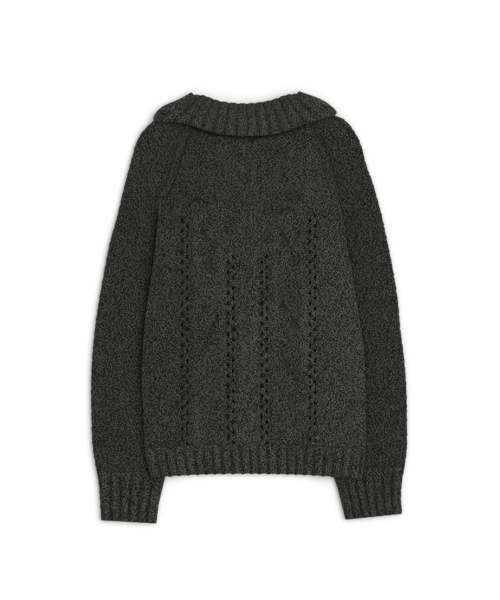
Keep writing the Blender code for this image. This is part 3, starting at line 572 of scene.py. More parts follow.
# Dark lines along the cables: each is a shallow groove and a painted shadow.
CABLE_LINES = Table(CREASE,
                    (67, 126, -61, 25, 3.0, 1.1), (87, 122, 63, 20, 2.6, 0.7),
                    (83, 89, -74, 20, 2.8, 0.9), (67, 0, -54, 18, 3.4, 1.2),
                    (84, -26, -60, 17, 3.4, 1.0), (67, -98, -69, 30, 3.0, 0.9),
                    (95, -137, -35, 24, 3.0, 0.8), (84, 203, 10, 22, 8.0, 0.7),
                    (-62, 202, -82, 13, 3.0, 1.0), (-82, 139, -72, 25, 3.0, 0.9),
                    (-49, 142, 40, 9, 2.6, 1.0), (-71, 76, -53, 20, 3.2, 0.7),
                    (-73, -52, 70, 50, 4.0, 0.8), (-64, -215, 60, 22, 3.0, 0.7))
print("cable lines:", len(CABLE_LINES.values))

# %% Cables, arches and the lace
def strand(distance):
    """A round strand with a narrow furrow at each side."""
    return np.clip(1 - (distance / STRAND) ** 2, 0, None) - 0.3 * bump(abs(distance) - STRAND, 1.8)


def arches(x, y):
    """The rounded tops of the two cable panels, as furrows."""
    total = np.zeros_like(x)
    for middle_x, middle_y, radius in ARCHES.values:
        away = np.hypot(x - middle_x, y - middle_y) - radius
        total += bump(away, 2.4) * soft((y - middle_y) / 5 + 0.2)
    return total


def lattice(x, y, panel):
    """Two ropes that swing across a panel and cross, between two straight ones."""
    middle, width, top, fade = panel
    reach = width / 2 - STRAND
    swing = reach * np.cos(math.tau * y / LATTICE_PERIOD)
    across = x - middle
    ropes = [strand(across - place) for place in (swing, -swing, reach, -reach)]
    return np.max(ropes, axis=0) * (abs(across) < width / 2 + 3) * soft((top - y) / fade)


def spine(x, y, panel):
    """Horseshoes, one inside the other, up the middle of the back."""
    middle, width = panel
    phase = (y / SPINE_PERIOD) % 1.0
    reach = (width / 2 - STRAND) * np.sqrt(phase)
    across = x - middle
    hoof = np.maximum(strand(across - reach), strand(across + reach))
    return hoof * (abs(across) < width / 2 + 3) * soft(phase * 6) * soft((1 - phase) * 9)


LINE_FROM_MIDDLE = 4.9     # the lines beside the winding strand of an eyelet column, sunk in and painted darker
LINE_WIDTH, WINDING, WINDING_WIDTH = 1.9, 4.0, 2.8


def lace_relief(x, y):
    """Height of the slanting strand of each eyelet column, and its painted shade: darker in the
    lines beside it, lighter on the strand as a painted highlight.
    """
    raised, sunk = np.zeros_like(x), np.zeros_like(x)
    for middle, (lowest, highest) in zip(LACE_MIDDLES, LACE_ROWS):
        turns = (y - HEM_SEAM_Y - COURSE) / ROW_PITCH
        here = soft(turns - lowest + 1) * soft(highest + 1 - turns)
        winding = middle - WINDING * np.cos(math.pi * turns)
        near = soft(2.2 - abs(x - middle) / LACE_HALF)
        line = bump(abs(x - middle) - LINE_FROM_MIDDLE, LINE_WIDTH)
        rope = bump(x - winding, WINDING_WIDTH)
        raised += here * near * (2.1 * rope - 1.3 * line)
        sunk += here * near * (line * (1 - rope) - bump(x - winding, 2.2))
    return raised, sunk

# %% Painted shades, the raglan seam, and all of the back's relief
def collar_shade(x, y):
    """A hollow along the collar's free edge, where the edge presses into the cloth below. The same
    values darken the wool there as a painted shadow.
    """
    below = COLLAR_LINE.at("y", x) - 2.0 - y
    return 0.8 * bump(below, 3.2) + 0.35 * bump(below, 10.0)


def painted_back_shade(x, y):
    """Painted shade and highlights of the back, for how the light falls on it: its left half and
    its yoke are painted darker, its right side, its spine and one spot lighter.
    """
    left, right, yoke_part = soft((-x - 40) / 90), soft((x - 40) / 90), soft((y - 150) / 50)
    spine_part = soft((26 - abs(x - SPINE_PANEL[0])) / 10) * soft((70 - y) / 50)
    spot = bump(x - SPOT[0], SPOT_REACH[0]) * bump(y - SPOT[1], SPOT_REACH[1])
    return (BODY_BASE_SHADE + LEFT_SHADE * left + YOKE_SHADE * yoke_part - RIGHT_HIGHLIGHT * right
            - SPINE_HIGHLIGHT * spine_part - SPOT_HIGHLIGHT * spot)


def raglan_lines(away, band):
    """The furrows at a raglan seam and at the far side of the band beside it."""
    return bump(away, 2.6) + 0.7 * bump(away - band, 1.6)


def in_yoke(y):
    """1 above the underarm, 0 below it."""
    return soft((y - UNDERARM_Y + 10) / 20)


def back_relief(x, y):
    """Height of everything that is knitted into the back, and its painted shade: darker in the
    furrows, seams, arches, cable lines and below the collar's edge, lighter on the cables' tops.
    """
    below_collar = soft((COLLAR_LINE.at("y", x) - 8 - y) / 15)
    above_hem = soft((y - HEM_SEAM_Y) / 12)
    cables = lattice(x, y, LEFT_PANEL) + lattice(x, y, RIGHT_PANEL) + spine(x, y, SPINE_PANEL)
    raglan_x = abs(body_edge(np.sign(x), y)) - abs(x)
    band = raglan_lines(raglan_x, RAGLAN_BAND) * in_yoke(y)
    lace, lines = lace_relief(x, y)
    arch = arches(x, y)
    shade = collar_shade(x, y)
    height = CABLE_RAISE * cables * below_collar * above_hem + lace
    lines_between = creases(x, y, CABLE_LINES)
    height = height - 1.7 * band - 1.1 * arch - 1.2 * np.minimum(shade, 1) - lines_between
    # Painted shade in the furrows beside the cables, and a painted highlight on their tops.
    ground = np.clip(-3 * cables, 0, 0.6) - 0.2 * np.clip(cables, 0, 1)
    sunk = painted_back_shade(x, y) + 0.4 * lines + 1.2 * band + arch + lines_between
    sunk = sunk + ground * above_hem + shade
    return height, sunk

# %% Knit the back
EDGE_DIP = 1.8             # the back sinks this much towards its side edges
EDGE_DIP_WIDTH = 22.0


def edge_dip(x, y, turn, side):
    """How far the back sinks towards its side edge."""
    inside = abs(body_edge(side, y)) - SIDE_ROUND - abs(x)
    return EDGE_DIP * soft(1 - inside / EDGE_DIP_WIDTH) * soft((UNDERARM_Y - y) / 30) * (1 - turn)


def lay_back(column, row):
    """The layout of the back. base is a column's place at the underarm."""
    base = np.interp(column - TURN, range(len(base_of)), base_of)
    turn = np.clip(np.maximum(TURN - column, column - BACK_COLUMNS + TURN) / TURN, 0, 1)
    side = np.where(base < 0, -1, 1)
    y = np.minimum(HEM_SEAM_Y + row * COURSE, UNDERARM_Y)
    join = YOKE_ROW - YOKE_JOIN
    joined = mix(HEM_SEAM_Y + join * COURSE, UNDERARM_Y, (row - join) / YOKE_JOIN)
    y = np.where(row > join, joined, y)
    x = spread(base, y, LACE_X)
    y = y + hem_sag(x, y)
    yoke_x, yoke_y = yoke(base, (row - YOKE_ROW) / YOKE_COURSES, CORE_X, BACK_NECK)
    x = np.where(row > YOKE_ROW, yoke_x, x)
    y = np.where(row > YOKE_ROW, yoke_y, y)
    flat = 1 - soft(turn * 2)
    lift = (creases(x, y, BACK_CREASES) + uneven(x, y, 0.45)) * flat - edge_dip(x, y, turn, side)
    wale = WALE_RAISE * np.cos(math.pi * column) * (abs(base) < LACE_X)
    height, sunk = back_relief(x, y)
    x = x + side * free_edge(y) * soft(turn)
    wall = body_wall(x, y, turn, side, 1, lift, (height + wale) * flat)
    return *wall, mix(BODY_BASE_SHADE, sunk, flat), (x + side * turn * EDGE_ARC) / STITCH


holes = []
for start, (lowest, highest) in zip(lace_starts, LACE_ROWS):
    holes += [(start + 4 * ((row + 1) % 2), 3 * row) for row in range(lowest, highest + 1)]
back = knit("back_knit", BACK_COLUMNS, YOKE_ROW + YOKE_COURSES, lay_back, (0.5, 1.0), holes=holes)
print("eyelets:", len(holes))

# %% [markdown]
# ## The fronts
#
# The fronts are plain stocking stitch, and they lie underneath. The same wall function turns
# them over: their outer face is the underside, which rests on the table.

# %% Knit the fronts
FRONT_CORE_X = 75.0
FRONT_ROWS = 114
COURSES_IN_ROW = (UNDERARM_Y - HEM_SEAM_Y) / COURSE / FRONT_ROWS
FRONT_YOKE_COURSES = 30
ZIP_EDGE = 7.0             # half the gap between the two fronts


def front_columns(side):
    """Flat columns of a front, and the plan x of the last one."""
    widest = abs(BODY.at("left" if side < 0 else "right", UNDERARM_Y)) - SIDE_ROUND
    flat = 2 * round((widest - ZIP_EDGE) / STITCH)
    return flat, widest


def lay_front(side):
    """The layout of a front, from the zip's edge out to the side seam."""
    flat_columns, widest = front_columns(side)

    def lay_out(column, row):
        base = side * mix(ZIP_EDGE, widest, np.minimum(column / flat_columns, 1))
        turn = np.clip((column - flat_columns) / TURN, 0, 1)
        y = mix(HEM_SEAM_Y, UNDERARM_Y, np.minimum(row / FRONT_ROWS, 1))
        x = spread(base, y, FRONT_CORE_X)
        y = y + hem_sag(x, y)
        part = (row - FRONT_ROWS) / FRONT_YOKE_COURSES
        yoke_x, yoke_y = yoke(base, part, FRONT_CORE_X, FRONT_NECK[side])
        x = np.where(row > FRONT_ROWS, yoke_x, x)
        y = np.where(row > FRONT_ROWS, yoke_y, y)
        lift = -0.6 * creases(x, y, FRONT_CREASES) * (1 - soft(turn * 2))
        lift = np.maximum(lift, 0)
        wale = 0.25 * (1 - np.cos(math.pi * column)) / 2 * (abs(base) < FRONT_CORE_X)
        x = x + side * free_edge(y) * soft(turn)
        wall = body_wall(x, y, turn, side, -1, lift, wale * (turn == 0))
        return *wall, np.full_like(x, BODY_BASE_SHADE), (x + side * turn * EDGE_ARC) / STITCH
    return lay_out


fronts = {}
for side, name in ((-1, "front_left_knit"), (1, "front_right_knit")):
    columns = front_columns(side)[0] + TURN
    fronts[side] = knit(name, columns, FRONT_ROWS + FRONT_YOKE_COURSES, lay_front(side),
                        (0.5, COURSES_IN_ROW))

# %% [markdown]
# ## The rib hems
#
# A two-by-two rib stands up over two stitches and sinks over the next two. Its ribs are real
# relief here, eight columns to a rib, and they are a little uneven, as knitted ribs are. On an
# underside the furrows are cut in instead, so the ribs rest on the table.

# %% Ribs of the hems
RIB_RAISE = 2.6
RIB_COLUMNS = 8
BACK_RIBS = 23
RIB_WANDER = 1.3           # how far a rib of the back's hem is off its even place
HEM_COURSES = 18


RIB_STEEP = 1.3            # more makes the flanks of a rib steeper
RIB_START = 0.36           # where in a rib the first column is
ROUND_COURSES = 1.6        # a free edge is rounded over this many courses


def rib(phase):
    """Height of a two-by-two rib, 1 on top of it and 0 in the furrow."""
    return soft(1.0 + RIB_STEEP * np.cos(math.tau * (phase - RIB_START)))


def end_round(part, courses):
    """How far the outer face sinks towards a free edge, 1 at the edge."""
    return soft(1 - part * courses / ROUND_COURSES)


def lay_back_hem(column, row):
    """The layout of the back's rib. share goes from 0 at the left seam to 1 at the right."""
    ribs = RIB_COLUMNS * BACK_RIBS
    turn = np.clip(np.maximum(TURN - column, column - TURN - ribs) / TURN, 0, 1)
    share = np.clip((column - TURN) / ribs, 0, 1)
    side = np.where(share < 0.5, -1, 1)
    part = row / HEM_COURSES
    middle_y = HEM_SEAM_Y - HEM_HEIGHT * (1 - part)
    x = mix(body_edge(-1, middle_y) + SIDE_ROUND, body_edge(1, middle_y) - SIDE_ROUND, share)
    x = x + RIB_WANDER * np.sin(share * 31 + 0.6) * (share * (1 - share) * 4)
    y = hem_bottom(x) + (HEM_HEIGHT - SEAM) * part
    shown = rib((column - TURN) / RIB_COLUMNS)
    strength = 0.55 + 0.45 * soft((1 - part) * 3.5)
    relief = RIB_RAISE * shown * strength - 1.4 * end_round(part, HEM_COURSES)
    relief = relief + 0.25 * np.cos(math.pi * column)
    y = y + 1.6 * (shown - 0.5) * end_round(part, HEM_COURSES / 3) * (turn == 0)
    lift = uneven(x, y, 0.4) * (turn == 0) - edge_dip(x, y, turn, side)
    x = x + side * free_edge(y) * soft(turn)
    wall = body_wall(x, y, turn, side, 1, lift, relief * (turn == 0))
    # Painted shade in the furrows of the ribs.
    return *wall, (1 - shown) * strength * (turn == 0), None


def lay_front_hem(side):
    """The layout of a front's rib, with the furrows cut in from below."""
    flat_columns, widest = front_columns(side)

    def lay_out(column, row):
        base = side * mix(ZIP_EDGE, widest, np.minimum(column / flat_columns, 1))
        turn = np.clip((column - flat_columns) / TURN, 0, 1)
        part = row / HEM_COURSES
        x = spread(base, HEM_SEAM_Y - HEM_HEIGHT * (1 - part), FRONT_CORE_X)
        y = hem_bottom(x) + (HEM_HEIGHT - SEAM) * part
        furrow = 1 - rib(column / RIB_COLUMNS)
        relief = (1.4 * furrow + 1.2 * end_round(part, HEM_COURSES)) * (turn == 0)
        x = x + side * free_edge(y) * soft(turn)
        # Painted shade in the furrows of the ribs, on the underside.
        return *body_wall(x, y, turn, side, -1, 0.0, np.minimum(relief, 1.8)), furrow, None
    return lay_out

# %% Knit the hems
back_hem = knit("back_hem_knit", RIB_COLUMNS * BACK_RIBS + 2 * TURN, HEM_COURSES, lay_back_hem,
                (0.5, 1.0))
front_hems = {}
for side, name in ((-1, "front_hem_left_knit"), (1, "front_hem_right_knit")):
    columns = front_columns(side)[0] + TURN
    front_hems[side] = knit(name, columns, HEM_COURSES, lay_front_hem(side), (0.5, 1.0))

# %% [markdown]
# ## Sleeves and cuffs
#
# A sleeve is a flattened tube, closed from the underarm down and open along the raglan seams
# above it. Its columns run round the tube: up round the inner edge, over the top, round the
# outer edge and back along the underside. The rows are spaced evenly down its length, so that
# the stitches keep their size.

# %% A flattened tube between an outer and an inner edge
TUBE_TURN = 3              # columns in a quarter turn of a tube's edge
TUBE_CLOSE = 20.0          # the tube is closed this far below the underarm
SLEEVE_GAP = 0.5           # what a sleeve's inner edge keeps from the drawn line
DIVE_BLEND = 8.0
TUCK = 2.0                 # how far a sleeve's edge reaches in under the body as it dives
TUCK_BELOW, TUCK_FADE = 7.0, 30.0
ROW_WAVE, SIDE_WAVE = 3.3, 40.0   # how fast the outer edge's waves go, and what parts two sides
LEFT_BODY_SHADOW = (0.3, 0.75)  # depth of the painted shadow beside the body, low down and high up
RIGHT_BODY_SHADOW = 0.26
BODY_SHADOW_REACH = {-1: 30.0, 1: 12.0}
CONTACT_SHADOW = 0.5              # depth of the narrow painted contact shadow along the body's edge


def outside_body(x, y, margin=CLEAR_OF_BODY):
    """Distance of a point from a line that far outside the body's outline, 0 within it."""
    side = np.where(x < 0, -1, 1)
    beside = side * (x - body_edge(side, y)) - margin
    below = hem_bottom(x) - margin - y
    return np.maximum(np.maximum(beside, below), 0)


def body_shade(x, y):
    """Painted shadow of the body's edge on a sleeve or cuff; it only darkens the wool. It is deeper
    on the side away from the light.
    """
    away = outside_body(x, y, 0.0)
    left = mix(*LEFT_BODY_SHADOW, soft((y + 150) / 300)) * soft(1 - away / BODY_SHADOW_REACH[-1])
    right = RIGHT_BODY_SHADOW * soft(1 - away / BODY_SHADOW_REACH[1])
    pressed = CONTACT_SHADOW * bump(away, 3.0)
    return (np.where(x < 0, left, right) + pressed) * soft((UNDERARM_Y + 10 - y) / 20)


def sleeve_height(x, y):
    """Thickness of a sleeve, which is pressed flat where the body lies on it."""
    free = mix(HIDDEN_SLEEVE, OPEN_SLEEVE, soft(outside_body(x, y) / FREE_RAMP))
    return mix(BODY_HEIGHT, free, soft((UNDERARM_Y - y) / DIVE))


def stations(table, rows):
    """The station of each row, so that the rows are evenly spaced down the middle."""
    fine = np.linspace(0, len(table.keys) - 1, 400)
    x = (table.smooth("outer_x", fine) + table.at("inner_x", fine)) / 2
    y = (table.smooth("outer_y", fine) + table.at("inner_y", fine)) / 2
    far = np.concatenate(([0], np.cumsum(np.hypot(np.diff(x), np.diff(y)))))
    return np.interp(np.linspace(0, far[-1], rows + 1), far, fine), far[-1]


def tucked(y, ribbed):
    """How far a sleeve's inner edge is tucked in under the body. A cuff's is not."""
    return 0 * y if ribbed else TUCK * soft((UNDERARM_Y - TUCK_BELOW - y) / TUCK_FADE)

# %% Lay out a tube
def lay_tube(table, side, rows, tops, unders, top_relief, under_relief, lift_of, ribbed):
    """The layout of a tube, with one function for each face's relief and one for its creases.

    The ribs of a cuff follow its columns. On a sleeve the wales run along the outer fold,
    which is the sleeve's middle, and end at the seams, where the knitter narrows it.
    """
    start_outer = TUBE_TURN + tops
    start_under = start_outer + 2 * TUBE_TURN
    start_inner = start_under + unders
    station_of, _ = stations(table, rows)

    def lay_out(column, row):
        key = np.interp(row, range(rows + 1), station_of)
        inner_y = table.at("inner_y", key)
        dives = soft((UNDERARM_Y - DIVE + DIVE_BLEND - inner_y) / DIVE_BLEND)
        inner_x = mix(body_edge(side, inner_y), table.at("inner_x", key), dives)
        inner = np.stack([inner_x, inner_y], axis=-1)
        outer = np.stack([table.smooth("outer_x", key), table.smooth("outer_y", key)], axis=-1)
        along = outer - inner
        along /= np.linalg.norm(along, axis=-1, keepdims=True)
        outer = outer + along * woolly(ROW_WAVE * row + SIDE_WAVE * side)[:, None]
        inner = inner + along * (mix(SEAM, SLEEVE_GAP, dives) - tucked(inner_y, ribbed))[:, None]
        inner_round = sleeve_height(inner[:, 0], inner[:, 1])[:, None] / 2
        outer_round = sleeve_height(outer[:, 0], outer[:, 1])[:, None] / 2
        flat_in, flat_out = inner + along * inner_round, outer - along * outer_round
        upper = column < start_outer + TUBE_TURN
        share = np.where(upper, (column - TUBE_TURN) / tops, (start_inner - column) / unders)
        share = np.clip(share, 0, 1)
        spot = mix(flat_in, flat_out, share[:, None])
        x, y = spot[:, 0], spot[:, 1]
        ground, height = collar_rise(x, y), sleeve_height(x, y)
        lift = lift_of(x, y, share) * inside_of(share, 7)
        top, top_shade = top_relief(x, y, share, column, row)
        under, under_shade = under_relief(x, y, share, column, row)
        relief = np.where(upper, top, under)
        at_outer = (column > start_outer) & (column < start_under)
        at_inner = (column < TUBE_TURN) | (column > start_inner)
        turn = np.where(at_outer, 1 - abs(column - start_outer - TUBE_TURN) / TUBE_TURN, 0.0)
        turn = np.where(column < TUBE_TURN, (TUBE_TURN - column) / TUBE_TURN, turn)
        turn = np.where(column > start_inner, (column - start_inner) / TUBE_TURN, turn)
        closed = np.where(at_inner, soft((UNDERARM_Y - inner_y) / TUBE_CLOSE), 1.0)
        radius = np.where(at_outer, outer_round[:, 0], inner_round[:, 0])
        outward = np.where(at_outer[:, None], along, -along)
        sign = np.where(upper, 1, -1)
        turned = at_outer | at_inner
        found = []
        for depth in (0.0, WALL):
            reach = radius - depth
            out = mix(turn * radius, reach * np.sin(turn * math.pi / 2), closed)
            up = sign * mix(reach, reach * np.cos(turn * math.pi / 2), closed)
            flat_z = np.where(upper, height - depth + lift, depth)
            flat_z = flat_z + (relief if depth == 0 else 0)
            plan = spot + outward * out[:, None] * turned[:, None]
            z = ground + np.where(turned, radius + up, flat_z)
            found.append(points(plan[:, 0], plan[:, 1], z))
        quarter = math.pi / 2 * outer_round[:, 0]
        far = quarter + (1 - share) * np.linalg.norm(flat_out - flat_in, axis=-1)
        far = np.where(at_outer, (1 - turn) * quarter, far + at_inner * turn * radius)
        wale = None if ribbed else sign * far / STITCH
        return *found, np.where(upper, top_shade, under_shade) * ~turned, wale
    return lay_out, start_inner + TUBE_TURN

# %% Knit the sleeves
SLEEVE_ROWS = 214
SLEEVE_TOPS = 76
SLEEVE_UNDERS = 40
SLEEVE_WIDTH = 80.0        # about, where the raglan seam is


def sleeve_top(x, y, share, column, row):
    """Wales, and the raglan seam with the band of plain stitches beside it."""
    seam = raglan_lines(share * SLEEVE_WIDTH, RAGLAN_BAND - 3) * in_yoke(y)
    wale = WALE_RAISE * np.cos(math.pi * (column - TUBE_TURN)) * soft((240 - y) / 60)
    shade = collar_shade(x, y)
    height = wale * inside_of(share, 9) - 1.8 * seam - 1.2 * np.minimum(shade, 1)
    # Painted shade along the seam lines, and painted shadows below the collar's edge and beside the
    # body's edge.
    return height, 0.9 * seam + shade + body_shade(x, y)


def sleeve_under(x, y, share, column, row):
    """Shallow furrows between the wales of the underside."""
    wale = 0.15 * (1 - np.cos(math.pi * column)) * inside_of(share, 9)
    return wale, np.zeros_like(x)


sleeves = {}
for side, name in ((-1, "sleeve_left_knit"), (1, "sleeve_right_knit")):
    def lift(x, y, share, table=SLEEVE_CREASES[side]):
        shown = soft(outside_body(x, y) / 14 + soft((y - UNDERARM_Y) / 10))
        crown = 0.9 * np.sin(math.pi * share)
        dip = -0.9 * bump(outside_body(x, y) - 2, 9) * soft((UNDERARM_Y - y) / 30)
        return (creases(x, y, table) + uneven(x, y, 0.5) + crown) * shown + dip

    lay_out, columns = lay_tube(SLEEVE[side], side, SLEEVE_ROWS, SLEEVE_TOPS, SLEEVE_UNDERS,
                                sleeve_top, sleeve_under, lift, ribbed=False)
    station_of, length = stations(SLEEVE[side], SLEEVE_ROWS)
    closed = [row for row, station in enumerate(station_of)
              if SLEEVE[side].at("inner_y", station) <= UNDERARM_Y - TUBE_CLOSE]
    sleeves[side] = knit(name, columns, SLEEVE_ROWS, lay_out, (0.5, 1.0), closed_rows=closed)
    print(name, "is", round(length), "mm long down its middle")

# %% Knit the cuffs
CUFF_RIBS = {-1: 6, 1: 7}
CUFF_ROWS = 28
CUFF_UNDERS = 48


def cuff_top(x, y, share, column, row):
    """Ribs on the face that is seen. They are pressed flat where the body lies on them."""
    shown = soft(outside_body(x, y) / 10) * rib((column - TUBE_TURN) / RIB_COLUMNS)
    open_end = end_round(1 - row / CUFF_ROWS, CUFF_ROWS)
    strength = 0.5 + 0.5 * soft(row / CUFF_ROWS * 4)
    sides = inside_of(share, 30)
    furrow = (1 - rib((column - TUBE_TURN) / RIB_COLUMNS)) * strength
    relief = (RIB_RAISE * shown * strength - 1.3 * open_end) * sides
    # Painted shade in the rib furrows, and the body's painted shadow where that is deeper.
    return relief, np.maximum(furrow, body_shade(x, y))


def cuff_under(x, y, share, column, row):
    """Furrows cut into the underside."""
    open_end = end_round(1 - row / CUFF_ROWS, CUFF_ROWS)
    furrow = 1 - rib((column + 1) / RIB_COLUMNS)
    sides = inside_of(share, 30)
    # Painted shade in the furrows of the underside.
    return np.minimum(1.3 * furrow + open_end, 1.6) * sides, furrow


cuffs = {}
for side, name in ((-1, "cuff_left_knit"), (1, "cuff_right_knit")):
    tops = RIB_COLUMNS * CUFF_RIBS[side] - 2
    lay_out, columns = lay_tube(CUFF[side], side, CUFF_ROWS, tops, CUFF_UNDERS, cuff_top,
                                cuff_under, lambda x, y, share: uneven(x, y, 0.3), ribbed=True)
    cuffs[side] = knit(name, columns, CUFF_ROWS, lay_out, (0.5, 1.0),
                       closed_rows=range(CUFF_ROWS + 1))

# %% [markdown]
# ## The collar
#
# The collar is one strip of wide rib. From the neck seam it stands up, folds outwards and falls
# back over the body, all round the neck. Laid flat, its back half lies on top of everything and
# its front half underneath, and it turns round at the shoulders. The columns run along the neck
# and the rows from the neck seam over the fold to the free edge.

# %% Sizes of the collar
FOLD_RADIUS = 1.8
COLLAR_TURN = 6.6          # radius of the outer layer where it turns round the shoulder
STAND_TURN = 3.0           # and of the inner layer
COLLAR_BOW = {-1: (7.5, 2.0), 1: (6.0, 1.2)}   # how far the shoulder bows out, and where
SHOULDER_OUT = (0.6, 0.8)  # the way out over a shoulder, in plan
NECK_GAP = 0.7             # the neck seam
COLLAR_RIBS = 14
COLLAR_RIB_COLUMNS = 12
LIP = 1.6                  # the free edge curls up by this much
COLLAR_CREASES = Table(CREASE,
                       (-156, 357, 4, 17, 4, -2.2), (-148, 369, 20, 16, 5, 0.8),
                       (146, 364, -14, 16, 4, -1.2), (-5, 350, 2, 60, 7, 0.5))
FRONT_SPAN = 60            # columns of one front half
TURN_SPAN = 16             # columns round one shoulder
BACK_SPAN = COLLAR_RIBS * COLLAR_RIB_COLUMNS
STAND_ROWS = 8
FOLD_ROWS = 8
FALL_ROWS = 20
COLLAR_COLUMNS = 2 * FRONT_SPAN + 2 * TURN_SPAN + BACK_SPAN
COLLAR_ROWS = STAND_ROWS + FOLD_ROWS + FALL_ROWS
MARKS = (FRONT_SPAN, FRONT_SPAN + TURN_SPAN, FRONT_SPAN + TURN_SPAN + BACK_SPAN,
         FRONT_SPAN + 2 * TURN_SPAN + BACK_SPAN)


print("the collar has", COLLAR_COLUMNS, "columns and", COLLAR_ROWS, "rows")

# %% The middle of the collar's wall
def collar_parts(column):
    """Which part of the collar each column is in, its share, side and angle of turn."""
    parts = [column <= MARKS[0], column < MARKS[1], column <= MARKS[2], column < MARKS[3]]
    back_share = 1 - (column - MARKS[1]) / BACK_SPAN
    share = np.select(parts, [1 - column / FRONT_SPAN, 1.0, back_share, 0.0],
                      (column - MARKS[3]) / FRONT_SPAN)
    side = np.select(parts, [1, 1, np.where(back_share > 0.5, 1, -1), -1], -1)
    angle = np.select(parts, [-90.0, mix(-90, 90, (column - MARKS[0]) / TURN_SPAN), 90.0,
                              mix(90, -90, (column - MARKS[2]) / TURN_SPAN)], -90.0)
    return parts, share, side, np.radians(angle)


def collar_curve(name, column):
    """A point of the neck seam, the fold or the edge, in plan."""
    parts, share, side, _ = collar_parts(column)
    on_back = parts[3] & ~parts[0]
    spot = []
    for axis in ("_x", "_y"):
        back = COLLAR_BACK.smooth(name + axis, share)
        right = COLLAR_FRONT[1].smooth(name + axis, share)
        left = COLLAR_FRONT[-1].smooth(name + axis, share)
        spot.append(np.where(parts[0], right, np.where(on_back, back, left)))
    near = np.where(on_back, np.minimum(share, 1 - share) * 8, share * 5)
    radius = STAND_TURN if name == "neck" else COLLAR_TURN
    pull = (radius + WALL / 2) * np.clip(1 - near, 0, 1)
    return np.stack([spot[0] - SHOULDER_OUT[0] * side * pull, spot[1] - SHOULDER_OUT[1] * pull],
                    axis=-1)


def collar_middle(column, row):
    """Points half way through the collar's wall."""
    _, _, side, angle = collar_parts(column)
    neck, fold, edge = (collar_curve(name, column) for name in ("neck", "fold", "edge"))
    up = fold - neck
    up /= np.linalg.norm(up, axis=-1, keepdims=True)
    outward = np.stack([SHOULDER_OUT[0] * side, np.full_like(column, SHOULDER_OUT[1])], axis=-1)
    fold_line = fold - up * (FOLD_RADIUS + WALL / 2)
    turn = np.clip((row - STAND_ROWS) / FOLD_ROWS, 0, 1)[:, None] * math.pi
    stand = mix(neck + up * NECK_GAP, fold_line, (row / STAND_ROWS)[:, None])
    bend = fold_line + up * FOLD_RADIUS * np.sin(turn)
    down = ((row - STAND_ROWS - FOLD_ROWS) / FALL_ROWS)[:, None]
    aside = np.cos(angle)[:, None]
    fall = mix(fold_line, edge, down)
    bow, skew = (np.where(side < 0, *pair)[:, None] for pair in zip(*COLLAR_BOW.values()))
    fall = fall + outward * bow * np.sin(math.pi * np.clip(down, 0, 1) ** skew) * abs(aside)
    row = row[:, None]
    plan = np.where(row <= STAND_ROWS, stand, np.where(row < STAND_ROWS + FOLD_ROWS, bend, fall))
    done = (1 - np.cos(turn)) / 2
    radius = mix(STAND_TURN, COLLAR_TURN, done)
    plan = plan + outward * radius * aside
    height = mix(OVER_COLLAR + BODY_HEIGHT / 2, COLLAR_TURN + WALL / 2, done)
    height = height + radius * np.sin(angle)[:, None]
    return np.concatenate([plan, height], axis=-1)

# %% Knit the collar
STEP = 0.02                # the wall's slope is measured over this share of a cell


def lay_collar(column, row):
    """Each point of the wall is half a thickness off its middle, along the normal there."""
    middle = collar_middle(column, row)
    ahead = collar_middle(np.minimum(column + STEP, COLLAR_COLUMNS), row)
    behind = collar_middle(np.maximum(column - STEP, 0), row)
    above = collar_middle(column, np.minimum(row + STEP, COLLAR_ROWS))
    below = collar_middle(column, np.maximum(row - STEP, 0))
    normal = np.cross(ahead - behind, above - below)
    normal /= np.linalg.norm(normal, axis=-1, keepdims=True)
    ends = soft((column - MARKS[1]) / 10) * soft((MARKS[2] - column) / 10)
    folded = soft((row - STAND_ROWS - 2) / (FOLD_ROWS - 2))
    ribs = rib((column - MARKS[1]) / COLLAR_RIB_COLUMNS) * ends * folded
    edge = end_round((COLLAR_ROWS - row) / COLLAR_ROWS, COLLAR_ROWS)
    lip = LIP * soft(1 - (COLLAR_ROWS - row) / 3) * ends
    under = (column <= MARKS[0]) | (column >= MARKS[3])
    furrow = (1 - rib(column / COLLAR_RIB_COLUMNS)) * under * folded
    relief = 2.5 * ribs - 1.2 * edge - 1.0 * furrow + 0.2 * np.cos(math.pi * column) * folded
    relief = relief + uneven(middle[:, 0], middle[:, 1] * 1.7, 0.35) * ends * folded
    crease = creases(middle[:, 0], middle[:, 1], COLLAR_CREASES) * folded * ~under
    relief = np.where(normal[:, 2] < 0, np.minimum(relief, 0), relief + crease)
    middle = middle + normal * lip[:, None]
    # Painted shade in the furrows of the ribs and in the creases that sink in.
    sunk = folded * ((1 - ribs) * ends * 0.7 + furrow - 0.5 * np.minimum(crease, 0))
    return middle + normal * (WALL / 2 + relief)[:, None], middle - normal * WALL / 2, sunk, None


collar = knit("collar_knit", COLLAR_COLUMNS, COLLAR_ROWS, lay_collar, (0.5, 1.0))

# %% [markdown]
# ## The zip
#
# The zip lies hidden between the layers and shows only from underneath. A woven tape is sewn
# behind each front's edge, and each tape carries a row of metal teeth that grip the other row
# half a step apart. The tapes are laid out as the knitting is, from a grid. Every tooth is the
# same small block, so the chain is many cubes with all their edges bevelled in one go.

# %% Tapes
TAPE_NEAR, TAPE_FAR = 3.4, 17.0   # a tape's edges, measured from the middle of the zip
TAPE_LOW, TAPE_HIGH = WALL + 0.7, WALL + 1.4
ZIP_FOOT = hem_bottom(0) + 1
ZIP_TAPE_TOP = 272.0
TAPE_COLUMNS, TAPE_ROWS = 8, 150
THREAD = 0.6               # width of one thread of the tape


def zip_ground(y):
    """Height of the fronts' underside along the zip."""
    return body_floor(np.zeros_like(y), y)


